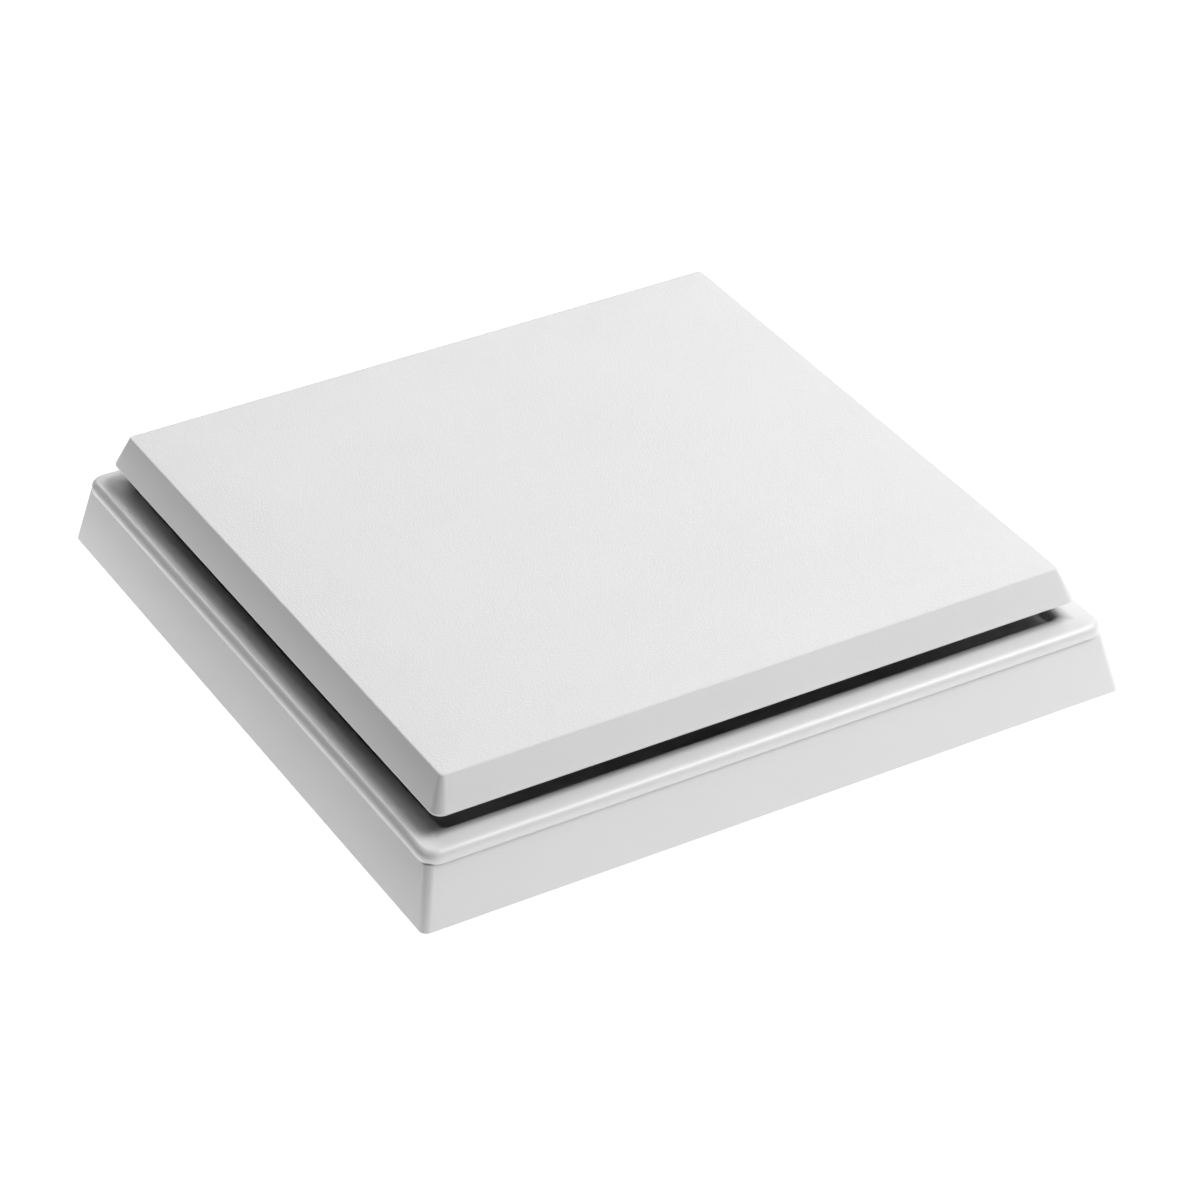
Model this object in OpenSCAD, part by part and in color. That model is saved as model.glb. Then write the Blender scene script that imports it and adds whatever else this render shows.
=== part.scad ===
// Bathroom extractor fan with a floating square front panel, a 100 mm duct spigot,
// an axial impeller on an external-rotor motor and a two-flap backdraft shutter.
// The wall or ceiling face is the plane z = 0, and +Z points into the room.

/* [Casing] */
// Width of the square casing where it meets the wall
front_w = 180; // [176:1:220]
// Height of the sloping side wall above the wall face
skirt_h = 14.8; // [14:0.2:22]
// How far the side wall leans in over its height
skirt_lean = 3.3; // [2:0.1:4]
// Thickness of the side wall
skirt_wall = 2; // [1.6:0.1:2.4]
// Corner radius of the side wall
skirt_corner = 2; // [1.5:0.1:4]

/* [Inlet fascia] */
// Radius of the rounded bead round the fascia
bead_r = 3; // [2.2:0.1:4]
// How far the bead stands out past the top of the side wall
bead_proud = 0.4; // [0.2:0.1:1]
// Corner radius of the bead
bead_corner = 4.2; // [4:0.1:8]
// Thickness of the fascia moulding
fascia_t = 1.6; // [1.2:0.1:2]
// Depth of the tray below the ledge
tray_depth = 2.6; // [1.5:0.1:3]

/* [Front panel] */
// Width of the front panel at its lower edge
panel_w = 165; // [150:1:170]
// Inset of the panel's face from its lower edge
panel_bevel = 3.8; // [2:0.1:6]
// Height of the front panel
panel_h = 8.2; // [7:0.1:12]
// Height of the air slot between ledge and panel
panel_gap = 4.8; // [4.6:0.1:8]
// Thickness of the front panel's walls
panel_t = 2; // [1.6:0.1:2.4]
// Corner radius at the panel's lower edge
panel_corner = 3.2; // [2.5:0.1:5]
// Corner radius at the panel's face
face_corner = 1.2; // [0.8:0.1:2]
// Distance of each panel pin from the centre lines
pin_at = 58; // [56:0.5:62]
// Radius of a panel pin's stem
pin_r = 3; // [2.5:0.1:3.5]

/* [Duct] */
// Outside radius of the spigot
spigot_r = 49.3; // [48.5:0.1:49.8]
// Reach of the spigot behind the wall face
spigot_l = 34; // [33:1:60]
// Wall thickness of the fan tube
tube_t = 2.3; // [1.8:0.1:2.8]

/* [Impeller] */
// Number of blades
blades = 7; // [5:1:9]
// Clearance between blade tips and tube
tip_gap = 1.2; // [0.8:0.1:2]
// Radius of the impeller hub
hub_r = 20; // [19.6:0.1:22]
// Length of the impeller hub along the shaft
hub_l = 17; // [16.5:0.1:20]
// Chord of a blade at the hub
blade_chord = 18; // [14:0.5:19]
// Thickness of a blade
blade_t = 1.6; // [1.2:0.1:2.2]

/* [Motor] */
// Radius of the motor shaft
shaft_r = 1.5; // [1.2:0.1:2]
// Outside radius of a ball bearing
bearing_r = 4; // [3.5:0.1:4.5]
// Height of a ball bearing
bearing_h = 4; // [3:0.5:5]
// Radius of the stator core
stator_r = 14.6; // [13:0.1:14.8]
// Number of stator teeth
stator_teeth = 9; // [6:3:12]

/* [Fixing] */
// Distance between wall screws along X
screw_dx = 144; // [140:1:146]
// Distance between wall screws along Y
screw_dy = 80; // [60:1:90]
// Radius of a wall screw hole
screw_hole_r = 2.3; // [2:0.1:2.6]
// Radius of the cable entry
cable_r = 4.5; // [3.5:0.1:5]

/* [Backdraft shutter] */
// Thickness of a flap
flap_t = 0.9; // [0.7:0.1:1.2]
// Radius of the flaps' hinge pin
flap_pin_r = 1; // [0.8:0.1:1.2]

/* [Hidden] */
$fn = 96;
eps = 0.01;                  // overlap that makes a cut clean
run_fit = 0.05;              // radial clearance of a part that turns or slides
slip = 0.3;                  // clearance of parts that drop into each other
screw_fit = 0.1;             // radial clearance of a screw in its pilot hole

// Casing heights
half = front_w / 2;
plate_t = 2.5;
flange_t = 2;
seat_z = plate_t + flange_t;              // top of the fan tube's flange
ledge_z = skirt_h + bead_r;
tray_z = ledge_z - tray_depth;            // top of the tray floor
tray_under = tray_z - fascia_t;
skirt_top = half - skirt_lean;            // half width at the top of the side wall
bead_out = skirt_top + bead_proud;
ledge_out = bead_out - bead_r;            // where the flat ledge begins
ledge_w = 3.6;
ledge_roll = 2;                           // radius of the ledge's inner edge
tray_half = ledge_out - ledge_w - ledge_roll;
tray_corner = 1.2;
rim_t = 1.5;                              // skirt's inner flange and gussets
skirt_rim = tray_half + fascia_t + slip;

// Front panel
panel_z = ledge_z + panel_gap;
face_z = panel_z + panel_h;
panel_under = face_z - panel_t;
boss_r = 5.4;
pin_socket_r = 2.6;
pin_tip_z = 9;
grommet_z = tray_z + 1.4;                 // top of a pin grommet
grommet_r = 6;
grommet_neck = 4.6;
rib_t = 1.4;
rib_h = 3;

// Duct and bellmouth
tube_in = spigot_r - tube_t;
counterbore = tube_in + 0.8;
shoulder_z = 0.5;
bell_r = tray_z - seat_z;
bell_c = counterbore + bell_r;            // radius of the bellmouth's centre circle
flange_r = spigot_r + 7;
plate_hole = spigot_r + 0.9;
neck_r = spigot_r + 0.6;
tube_screw_at = spigot_r + 3.9;

// Base plate
plate_half = half - 6;
plate_corner = 4;
rim_h = 5;
post_at = plate_half - 18;                // fascia screw posts
post_r = 4;
post_hole = 1.6;
screw_r = post_hole - screw_fit;
bush_hole = 4;                            // radius of a fixing bush's seat

// Motor stack, downward from the bracket
bracket_top = seat_z;
bracket_r = hub_r - 1.5;
hub_top = shoulder_z - 3;                 // the hub's upper edge
hub_end = hub_top - hub_l;
motor_board_z = shoulder_z - 2.2;
motor_board_t = 1;
core_h = 8;
core_top = hub_top - 4;
bearing_bore = shaft_r + run_fit;
tube_wall = 1.2;
bearing_tube_end = hub_end + 5;
cup_r = hub_r - 2.4;
cup_t = 0.8;
magnet_t = 1.4;
tip_r = tube_in - tip_gap;
spoke_w = 5;
channel_w = 2.4;
ring_t = 1.6;
guard_z = bracket_top;
guard_h = 2.7;

// Backdraft shutter
shutter_r = tube_in - 0.2;
shutter_top = -spigot_l + 8;
shutter_h = 7;
shutter_t = 1.6;
flap_r = shutter_r - shutter_t - 0.5;
seat_t = 0.8;
seat_w = 1.6;
flap_z = shutter_top - seat_t - 0.1;      // upstream face of the closed flaps
hinge_z = flap_z - 2.1;
knuckle_r = flap_pin_r + 0.8;
spring_r = flap_pin_r + 0.45;             // coil radius of a flap spring
spring_wire = 0.22;
knuckle_l = 12;
hinge_gap = 2.4;                          // from the hinge line to a flap's straight edge

// Control board
board_x0 = -50;
board_x1 = 38;
board_y0 = 47;
board_y1 = 79;
board_cut = bell_c + 2;
board_z = plate_t + 1;
board_t = 1.6;
board_top = board_z + board_t;
lid_top = tray_under - 0.2;
lid_t = 1.1;
lid_x1 = 16;
part_h = lid_top - lid_t - board_top - 0.2;   // tallest part under the lid
lid_screw = [-46, 75];
board_holes = [[-46, 51], [34, 57]];
timer_at = [-38, 67];
humidity_at = [-28, 71];
knob_r = 2.5;
access_r = 3.4;
sensor_at = [-35, 75.5];
terminal_x = 26;
terminal_y = 64;
terminal_pitch = 5;
terminal_d = 10;
terminal_top = tray_under - 0.3;
connector = [6, 4, 4];
connector_y = board_cut + 1.5;

// Cable entry and clamp
cable_at = [53, 71.5];
grommet_wall = 1.6;
clamp_x = 44;
clamp_y = [65, 78];
clamp_z = 8;
clamp_t = 2;
clamp_w = 6;
clamp_screw_r = 1.2;

// Motor lead: its centre line, from the board's connector to the motor's board
lead_r = 0.9;
lead_path = [
    [0, 65, 6.6], [0, 61.6, 6.6], [0, 60, 6.1], [0, 58.9, 5.1], [0, 58.2, 4.1], [0, 57, 3.5],
    [0, 48.2, 3.5], [0, 43.5, 3.4], [0, 14.2, 3.4], [0, 12.9, 3.25], [0, 12.2, 2.6],
    [0, 12, 1.6], [0, 12, motor_board_z + 0.1]
];

// ---------- shared shapes ----------

// A flat slab with round corners, centred on the axis
module slab(w, r, h, z = 0) {
    translate([0, 0, z])
        linear_extrude(h)
            hull()
                for (x = [-1, 1], y = [-1, 1])
                    translate([x * (w / 2 - r), y * (w / 2 - r)]) circle(r, $fn = 32);
}

// A square slab with true round corners
module true_square(w, r) {
    square([w, w - 2 * r], center = true);
    square([w - 2 * r, w], center = true);
    for (x = [-1, 1], y = [-1, 1]) translate([x * (w / 2 - r), y * (w / 2 - r)]) circle(r);
}

module true_slab(w, r, h, z = 0) {
    translate([0, 0, z]) linear_extrude(h) true_square(w, r);
}

// Sweeps a profile round a square; the profile's x is measured outward from the corner centres
module square_sweep(centre) {
    for (a = [0:90:270]) rotate(a) {
        translate([centre, centre, 0]) rotate_extrude(angle = 90) children();
        translate([centre, centre, 0]) rotate([90, 0, 0]) linear_extrude(2 * centre) children();
    }
}

module corners(d) {
    for (x = [-1, 1], y = [-1, 1]) translate([x * d, y * d, 0]) children();
}

module ring(r_out, r_in, z0, z1) {
    translate([0, 0, z0]) difference() {
        cylinder(h = z1 - z0, r = r_out);
        translate([0, 0, -1]) cylinder(h = z1 - z0 + 2, r = r_in);
    }
}

module peg(r, z0, z1) {
    translate([0, 0, z0]) cylinder(h = z1 - z0, r = r);
}

// Pan-head screw with a cross recess: underside of the head at z = head_z
module pan_screw(r, head_z, tip_z, head_r, head_h) {
    difference() {
        union() {
            peg(r, tip_z, head_z + eps);
            peg(head_r, head_z, head_z + head_h * 0.6);
            translate([0, 0, head_z + head_h * 0.6 - eps])
                cylinder(h = head_h * 0.4, r1 = head_r, r2 = head_r * 0.75);
        }
        for (a = [0, 90]) rotate(a)
            translate([-head_r * 0.55, -0.35, head_z + head_h * 0.45])
                cube([head_r * 1.1, 0.7, head_h]);
    }
}

// Round wire swept along a path; ref is a direction the path never runs along
function unit(v) = v / norm(v);
function tangent(p, i) = unit(p[min(i + 1, len(p) - 1)] - p[max(i - 1, 0)]);
function wire_points(p, r, n, ref) = [
    for (i = [0:len(p) - 1])
        let (t = tangent(p, i), u = unit(ref - t * (t * ref)), w = cross(t, u))
            for (k = [0:n - 1]) p[i] + r * (cos(360 * k / n) * u + sin(360 * k / n) * w)
];
// Side and end faces of a tube of m rings of n points
function tube_faces(m, n) = concat(
    [[for (k = [0:n - 1]) k]],
    [for (i = [0:m - 2], k = [0:n - 1]) let (q = (k + 1) % n)
        each [[i * n + k, (i + 1) * n + k, (i + 1) * n + q], [i * n + k, (i + 1) * n + q, i * n + q]]],
    [[for (k = [n - 1:-1:0]) (m - 1) * n + k]]
);
module wire(p, r, ref, n = 8) {
    polyhedron(wire_points(p, r, n, ref), tube_faces(len(p), n), convexity = 6);
}

// ---------- front panel ----------

module front_panel() {
    inner_lean = panel_bevel * (panel_h - panel_t) / panel_h;
    color("white") difference() {
        union() {
            difference() {
                hull() {
                    slab(panel_w, panel_corner, eps, panel_z);
                    slab(panel_w - 2 * panel_bevel, face_corner, eps, face_z - eps);
                }
                hull() {
                    slab(panel_w - 2 * panel_t, panel_corner - panel_t / 2, eps, panel_z - eps);
                    slab(panel_w - 2 * (panel_t + inner_lean), face_corner, eps, panel_under);
                }
            }
            corners(pin_at) peg(boss_r, panel_z, panel_under + eps);
            panel_ribs();
        }
        corners(pin_at) peg(pin_socket_r, panel_z - 1, panel_under - 0.4);
    }
}

module panel_ribs() {
    reach = panel_w / 2 - panel_t - panel_bevel + 0.5;
    for (a = [0, 90], s = [-1, 0, 1]) rotate(a)
        translate([-reach, s * pin_at - rib_t / 2, panel_under - rib_h])
            cube([2 * reach, rib_t, rib_h + eps]);
}

module panel_pins() {
    color("gainsboro") corners(pin_at) {
        peg(pin_socket_r - screw_fit, panel_z, panel_under - 1);
        peg(boss_r - 0.4, grommet_z + 0.1, panel_z);
        peg(pin_r, pin_tip_z + 1.5, grommet_z + 0.1 + eps);
        translate([0, 0, pin_tip_z]) cylinder(h = 1.5 + eps, r1 = pin_r - 1.2, r2 = pin_r);
    }
}

module pin_grommets() {
    color("dimgray") corners(pin_at) difference() {
        union() {
            peg(grommet_r, tray_z, grommet_z);
            peg(grommet_neck - run_fit, tray_under - eps, tray_z + eps);
            translate([0, 0, tray_under - 1.6])
                cylinder(h = 1.6, r1 = grommet_neck - 0.6, r2 = grommet_neck + 0.5);
        }
        peg(pin_r + run_fit, tray_under - 3, grommet_z + 1);
    }
}

// ---------- inlet fascia ----------

// Quarter ring, its centre at the origin
module quarter_ring(r) {
    intersection() {
        difference() {
            circle(r);
            circle(r - fascia_t);
        }
        square(r + 1);
    }
}

module fascia_edge() {
    bead_c = bead_out - bead_corner;
    roll_c = tray_half - tray_corner;
    roll_out = tray_half + ledge_roll;
    square_sweep(bead_c) {
        translate([ledge_out - bead_c, skirt_h]) quarter_ring(bead_r);
        translate([0, ledge_z - fascia_t]) square([ledge_out - bead_c + eps, fascia_t]);
    }
    translate([0, 0, ledge_z - fascia_t]) linear_extrude(fascia_t) difference() {
        square(2 * bead_c + 2 * eps, center = true);
        true_square(2 * roll_out - 2 * eps, tray_corner + ledge_roll);
    }
    square_sweep(roll_c) {
        translate([roll_out - roll_c, ledge_z - ledge_roll]) mirror([1, 0]) quarter_ring(ledge_roll);
        translate([tray_half - roll_c, tray_under])
            square([fascia_t, ledge_z - ledge_roll - tray_under + eps]);
    }
}

module bellmouth() {
    rotate_extrude() difference() {
        intersection() {
            translate([bell_c, seat_z]) circle(bell_r);
            translate([counterbore, seat_z]) square([bell_r + eps, bell_r]);
        }
        translate([bell_c + eps, seat_z]) circle(bell_r - fascia_t);
    }
}

module inlet_fascia() {
    color("white") {
        fascia_edge();
        difference() {
            true_slab(2 * tray_half + 2 * eps, tray_corner, fascia_t, tray_under);
            peg(bell_c, tray_under - 1, tray_z + 1);
            corners(pin_at) peg(grommet_neck, tray_under - 1, tray_z + 1);
            corners(post_at) peg(screw_r + 0.3, tray_under - 1, tray_z + 1);
            for (p = [timer_at, humidity_at]) translate(p) peg(access_r, tray_under - 1, tray_z + 1);
        }
        bellmouth();
    }
}

module fascia_screws() {
    color("silver") corners(post_at)
        pan_screw(screw_r, tray_z, plate_t + 2, 3.2, 2.2);
}

// ---------- skirt ----------

module skirt() {
    color("white") {
        difference() {
            hull() {
                slab(front_w, skirt_corner, eps);
                slab(2 * skirt_top, skirt_corner, eps, skirt_h - eps);
            }
            hull() {
                slab(front_w - 2 * skirt_wall, skirt_corner, eps, -eps);
                slab(2 * (skirt_top - skirt_wall), skirt_corner, eps, skirt_h);
            }
        }
        gusset_mid = (post_at - 3 + skirt_rim) / 2;
        gusset_w = skirt_rim - post_at + 5;
        rim_reach = half - skirt_wall - skirt_lean * (tray_under - rim_t) / skirt_h + 0.4;
        translate([0, 0, tray_under - rim_t]) difference() {
            linear_extrude(rim_t) square(2 * rim_reach, center = true);
            translate([0, 0, -1]) linear_extrude(rim_t + 2) difference() {
                square(2 * skirt_rim, center = true);
                corners(gusset_mid) square(gusset_w, center = true);
            }
            corners(post_at) peg(screw_r + 0.3, -1, rim_t + 1);
        }
    }
}

// ---------- base plate ----------

module base_plate() {
    color("white") difference() {
        union() {
            true_slab(2 * plate_half, plate_corner, plate_t);
            difference() {
                true_slab(2 * plate_half, plate_corner, rim_h, plate_t - eps);
                true_slab(2 * plate_half - 3.2, plate_corner - 1, rim_h + 1, plate_t);
            }
            corners(post_at) peg(post_r, plate_t - eps, tray_under - rim_t);
            for (p = board_holes) translate(p) peg(2.6, plate_t - eps, board_z);
            translate(lid_screw) peg(2.6, plate_t - eps, board_z);
            for (y = clamp_y) translate([clamp_x, y]) peg(2.6, plate_t - eps, clamp_z);
            plate_ribs();
        }
        peg(plate_hole, -1, tray_z);
        corners(post_at) peg(post_hole, plate_t, tray_z);
        for (x = [-1, 1], y = [-1, 1]) translate([x * screw_dx / 2, y * screw_dy / 2])
            peg(bush_hole, -1, plate_t + rim_h);
        translate(cable_at) peg(cable_r + grommet_wall, -1, plate_t + 1);
        for (p = board_holes) translate(p) peg(1.1, 0.8, board_z + 1);
        translate(lid_screw) peg(1.3, 0.8, board_z + 1);
        for (y = clamp_y) translate([clamp_x, y]) peg(clamp_screw_r + screw_fit, 1, clamp_z + 1);
        for (a = [45:90:315]) rotate(a) translate([tube_screw_at, 0]) peg(1.3, 0.2, plate_t + 1);
    }
}

module plate_ribs() {
    for (s = [-1, 1], y = [-60, -20, 0, 20]) translate([s * 66, y, plate_t - eps])
        translate([s > 0 ? 0 : -16.5, -0.6]) cube([16.5, 1.2, 2.5]);
    for (x = [-45:15:45]) translate([x - 0.6, -plate_half + 1, plate_t - eps])
        cube([1.2, 16.5, 2.5]);
}

module fixing_bushes() {
    color("dimgray") for (x = [-1, 1], y = [-1, 1])
        translate([x * screw_dx / 2, y * screw_dy / 2]) difference() {
            union() {
                peg(bush_hole - run_fit, 0, plate_t);
                peg(bush_hole + 1.5, plate_t, plate_t + 1.5);
            }
            peg(screw_hole_r, -1, plate_t + 3);
        }
}

// ---------- fan tube, guard and motor bracket ----------

module fan_tube() {
    color("white") difference() {
        union() {
            peg(spigot_r, -spigot_l + 1, plate_t + eps);
            translate([0, 0, -spigot_l]) cylinder(h = 1 + eps, r1 = spigot_r - 0.7, r2 = spigot_r);
            peg(neck_r, shoulder_z, plate_t + eps);
            peg(flange_r, plate_t, seat_z);
        }
        peg(tube_in, -spigot_l - 1, seat_z);
        peg(counterbore, shoulder_z, seat_z + 1);
        for (a = [45:90:315]) rotate(a) translate([tube_screw_at, 0]) peg(1.6, plate_t - 1, seat_z + 1);
        translate([-1.5, 0, plate_t]) cube([3, flange_r + 1, seat_z]);
    }
}

module tube_screws() {
    color("silver") for (a = [45:90:315]) rotate(a) translate([tube_screw_at, 0])
        pan_screw(1.2, seat_z, 0.6, 2.6, 1.8);
}

module finger_guard() {
    guard_r = counterbore - 0.2;
    color("white") {
        ring(guard_r, guard_r - ring_t, guard_z, guard_z + guard_h);
        for (r = [10:8:42]) ring(r + 0.7, r - 0.7, guard_z + 0.8, guard_z + guard_h);
        for (a = [30:60:330]) rotate(a)
            translate([9.6, -0.7, guard_z + 0.8]) cube([guard_r - 10, 1.4, guard_h - 1.1]);
    }
}

module motor_bracket() {
    ring_r = counterbore - 0.2;
    color("whitesmoke") difference() {
        union() {
            ring(ring_r, ring_r - ring_t, shoulder_z, bracket_top);
            peg(bracket_r, shoulder_z, bracket_top - 2);
            for (a = [0:90:270]) rotate(a)
                translate([0, -spoke_w / 2, shoulder_z]) cube([ring_r - 0.6, spoke_w, bracket_top - shoulder_z]);
        }
        peg(bearing_r + tube_wall + screw_fit / 2, shoulder_z - 1, bracket_top - 0.8);
        translate([-channel_w / 2, 10.8, bracket_top - 2.1]) cube([channel_w, 40, 3]);
        translate([0, 12]) peg(channel_w / 2, shoulder_z - 1, bracket_top + 1);
    }
}

module bearing_tube() {
    color("goldenrod") difference() {
        peg(bearing_r + tube_wall, bearing_tube_end, bracket_top - 1);
        peg(bearing_r, bearing_tube_end - 1, bearing_tube_end + bearing_h);
        peg(bearing_r - 0.8, bearing_tube_end, bracket_top);
        peg(bearing_r, bracket_top - 2.4 - bearing_h, bracket_top);
    }
}

module bearing(z) {
    color("silver") rotate_extrude() difference() {
        translate([bearing_bore, z]) square([bearing_r - bearing_bore - 0.02, bearing_h]);
        for (e = [0, bearing_h]) translate([(bearing_r + bearing_bore) / 2, z + e])
            square([1.2, 0.3], center = true);
    }
}

module motor_board() {
    color("darkgreen") ring(stator_r + 0.8, bearing_r + tube_wall + 0.2,
        motor_board_z - motor_board_t, motor_board_z);
}

module stator_core() {
    inner = bearing_r + tube_wall + 0.05;
    color("slategray") translate([0, 0, core_top - core_h]) linear_extrude(core_h) difference() {
        union() {
            circle(inner + 2);
            for (i = [0:stator_teeth - 1]) rotate(i * 360 / stator_teeth) {
                translate([inner, -0.9]) square([stator_r - inner - 1, 1.8]);
                intersection() {
                    difference() {
                        circle(stator_r);
                        circle(stator_r - 1.6);
                    }
                    rotate(-15) square([stator_r + 1, stator_r + 1]);
                    rotate(-75) square([stator_r + 1, stator_r + 1]);
                }
            }
        }
        circle(inner);
    }
}

module stator_windings() {
    inner = bearing_r + tube_wall + 2.2;
    color("chocolate") for (i = [0:stator_teeth - 1]) rotate(i * 360 / stator_teeth)
        translate([inner, -1.9, core_top - core_h - 1.3]) difference() {
            cube([stator_r - inner - 1.9, 3.8, core_h + 2.6]);
            translate([-1, 0.95, 1.25]) cube([stator_r, 1.9, core_h + 0.1]);
        }
}

module shaft_clip() {
    z = bracket_top - 1.6;
    color("silver") difference() {
        ring(shaft_r + 1, shaft_r - 0.25, z, z + 0.4);
        translate([0, -0.7, z - 1]) cube([5, 1.4, 3]);
    }
}

module preload_spring() {
    turns = 4;
    steps = 12;
    z0 = bearing_tube_end + bearing_h + 0.3;
    z1 = bracket_top - 2.7 - bearing_h;
    coil_r = bearing_r - 1.15;
    color("silver") wire([for (i = [0:turns * steps])
        [coil_r * cos(360 * i / steps), coil_r * sin(360 * i / steps),
         z0 + (z1 - z0) * i / (turns * steps)]], 0.25, [0, 0, 1], 6);
}

// ---------- rotor ----------

module motor_shaft() {
    color("lightgray") difference() {
        peg(shaft_r, hub_end + 1, bracket_top - 0.9);
        ring(shaft_r + 1, shaft_r - 0.3, bracket_top - 1.65, bracket_top - 1.15);
    }
}

module rotor_cup() {
    color("gray") difference() {
        peg(cup_r - 0.02, hub_end + 2, hub_top - 0.6);
        peg(cup_r - cup_t, hub_end + 2 + cup_t, hub_top);
        peg(bearing_r + 1, hub_end, hub_end + 4);
    }
}

module rotor_magnet() {
    color("dimgray") ring(cup_r - cup_t - 0.02, cup_r - cup_t - magnet_t,
        core_top - core_h - 1, core_top + 1);
}

// A blade is a stack of cambered sections, each wrapped on a cylinder about the shaft.
// f runs from 0 at the root to 1 at the tip, t from 0 at the leading edge to 1 at the trailing.
function blade_radius(f) = hub_r - 1 + (tip_r - hub_r + 1) * f;
function blade_pitch(f) = 52 - 24 * f;
function blade_length(f) = blade_chord * (1 + 0.35 * f);
function blade_sweep(f) = 3.5 * f * f;
function camber(t) = 0.36 * t * (1 - t);
function thick(t) = blade_t * (0.18 + 1.45 * sqrt(t) * (1 - t));
function section_point(f, t, side) =
    let (c = blade_length(f), along = (0.5 - t) * c,
         off = c * 0.28 * camber(t) + side * thick(t) * (1 - 0.3 * f) / 2)
        [along * cos(blade_pitch(f)) - off * sin(blade_pitch(f)) + blade_sweep(f),
         along * sin(blade_pitch(f)) + off * cos(blade_pitch(f))];
function wrapped(f, p) = let (r = blade_radius(f), a = 180 / PI * p[0] / r)
    [r * cos(a), r * sin(a), hub_top - hub_l / 2 + p[1]];
function blade_ring(f, n) = concat(
    [for (i = [0:n]) wrapped(f, section_point(f, i / n, 1))],
    [for (i = [n:-1:0]) wrapped(f, section_point(f, i / n, -1))]
);

module blade(sections = 6, n = 8) {
    polyhedron([for (j = [0:sections]) each blade_ring(j / sections, n)],
        tube_faces(sections + 1, 2 * n + 2), convexity = 4);
}

module impeller() {
    color("ghostwhite") {
        difference() {
            peg(hub_r, hub_end, hub_top);
            peg(cup_r, hub_end + 2, hub_top + 1);
            peg(shaft_r + 0.01, hub_end + 1, hub_top + 1);
            rotate_extrude() translate([hub_r, hub_end]) circle(1.2, $fn = 24);
        }
        difference() {
            peg(bearing_r, hub_end + 1.5, hub_end + 4.6);
            peg(shaft_r + 0.01, hub_end + 1, hub_end + 6);
        }
        for (i = [0:blades - 1]) rotate(i * 360 / blades) blade();
    }
}

// ---------- backdraft shutter ----------

module shutter_frame() {
    color("whitesmoke") {
        ring(shutter_r, shutter_r - shutter_t, shutter_top - shutter_h, shutter_top);
        ring(shutter_r, shutter_r - shutter_t - seat_w, shutter_top - seat_t, shutter_top);
        difference() {
            union() {
                translate([-shutter_r + 1, -1.6, shutter_top - seat_t])
                    cube([2 * shutter_r - 2, 3.2, seat_t]);
                for (s = [-1, 1]) translate([s * (shutter_r - shutter_t - 1), 0, 0])
                    translate([-1.4, -1.6, hinge_z - 1.6]) cube([2.8, 3.2, shutter_top - hinge_z + 1.6]);
            }
            rotate([0, 90, 0]) translate([-hinge_z, 0, -shutter_r])
                cylinder(h = 2 * shutter_r, r = flap_pin_r + 0.02);
        }
    }
}

module flap_pin() {
    color("silver") rotate([0, 90, 0]) translate([-hinge_z, 0, -shutter_r + shutter_t + 0.1])
        cylinder(h = 2 * (shutter_r - shutter_t - 0.1), r = flap_pin_r);
}

// Half-round flap on the +Y side, with its knuckles at the given places along the pin
module flap(knuckles) {
    difference() {
        union() {
            translate([0, 0, flap_z - flap_t]) linear_extrude(flap_t) intersection() {
                circle(flap_r);
                translate([-flap_r, hinge_gap]) square([2 * flap_r, flap_r]);
            }
            for (x = knuckles) {
                translate([x, 0, hinge_z]) rotate([0, 90, 0]) cylinder(h = knuckle_l, r = knuckle_r);
                translate([x, 0, hinge_z - 0.2]) cube([knuckle_l, hinge_gap + 1, flap_z - hinge_z + 0.2]);
            }
            for (x = [-24, 24]) translate([x - 0.5, hinge_gap, flap_z - flap_t - 0.8])
                cube([1, flap_r * 0.7, 1]);
        }
        for (x = knuckles) translate([x - 1, 0, hinge_z]) rotate([0, 90, 0])
            cylinder(h = knuckle_l + 2, r = flap_pin_r + run_fit);
        translate([-flap_r, -flap_r, flap_z - 0.05]) cube([2 * flap_r, flap_r + hinge_gap, 5]);
    }
}

module flap_upper() {
    color("gainsboro") flap([-36, 4]);
}

module flap_lower() {
    color("gainsboro") mirror([0, 1, 0]) flap([-17, 23]);
}

// Torsion spring round the flap pin, one leg under the flap, for the flap on the +Y side
module flap_spring(x0, x1) {
    turns = 3;
    steps = 10;
    leg_z = flap_z - flap_t - spring_wire - 0.03;
    coil = [for (i = [0:turns * steps]) let (a = 360 * i / steps - 90)
        [x0 + (x1 - x0) * i / (turns * steps), spring_r * cos(a), hinge_z + spring_r * sin(a)]];
    color("silver") wire(concat([[x0, 13, leg_z], [x0, 4.6, leg_z], [x0, 3.8, leg_z - 0.3],
        [x0, 0.9, hinge_z - spring_r]], coil), spring_wire, [1, 0, 0], 6);
}

// ---------- control board ----------

module board_shape(x1, m) {
    difference() {
        translate([board_x0 + m, board_y0 + m])
            square([x1 - board_x0 - 2 * m, board_y1 - board_y0 - 2 * m]);
        circle(board_cut + m);
    }
}

module control_board() {
    color("forestgreen") translate([0, 0, board_z]) linear_extrude(board_t) difference() {
        board_shape(board_x1, 0);
        for (p = board_holes) translate(p) circle(1.3);
        translate(lid_screw) circle(1.5);
    }
}

module board_screws() {
    color("silver") for (p = board_holes) translate(p) pan_screw(1, board_top, 1, 2.3, 1.5);
}

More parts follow.
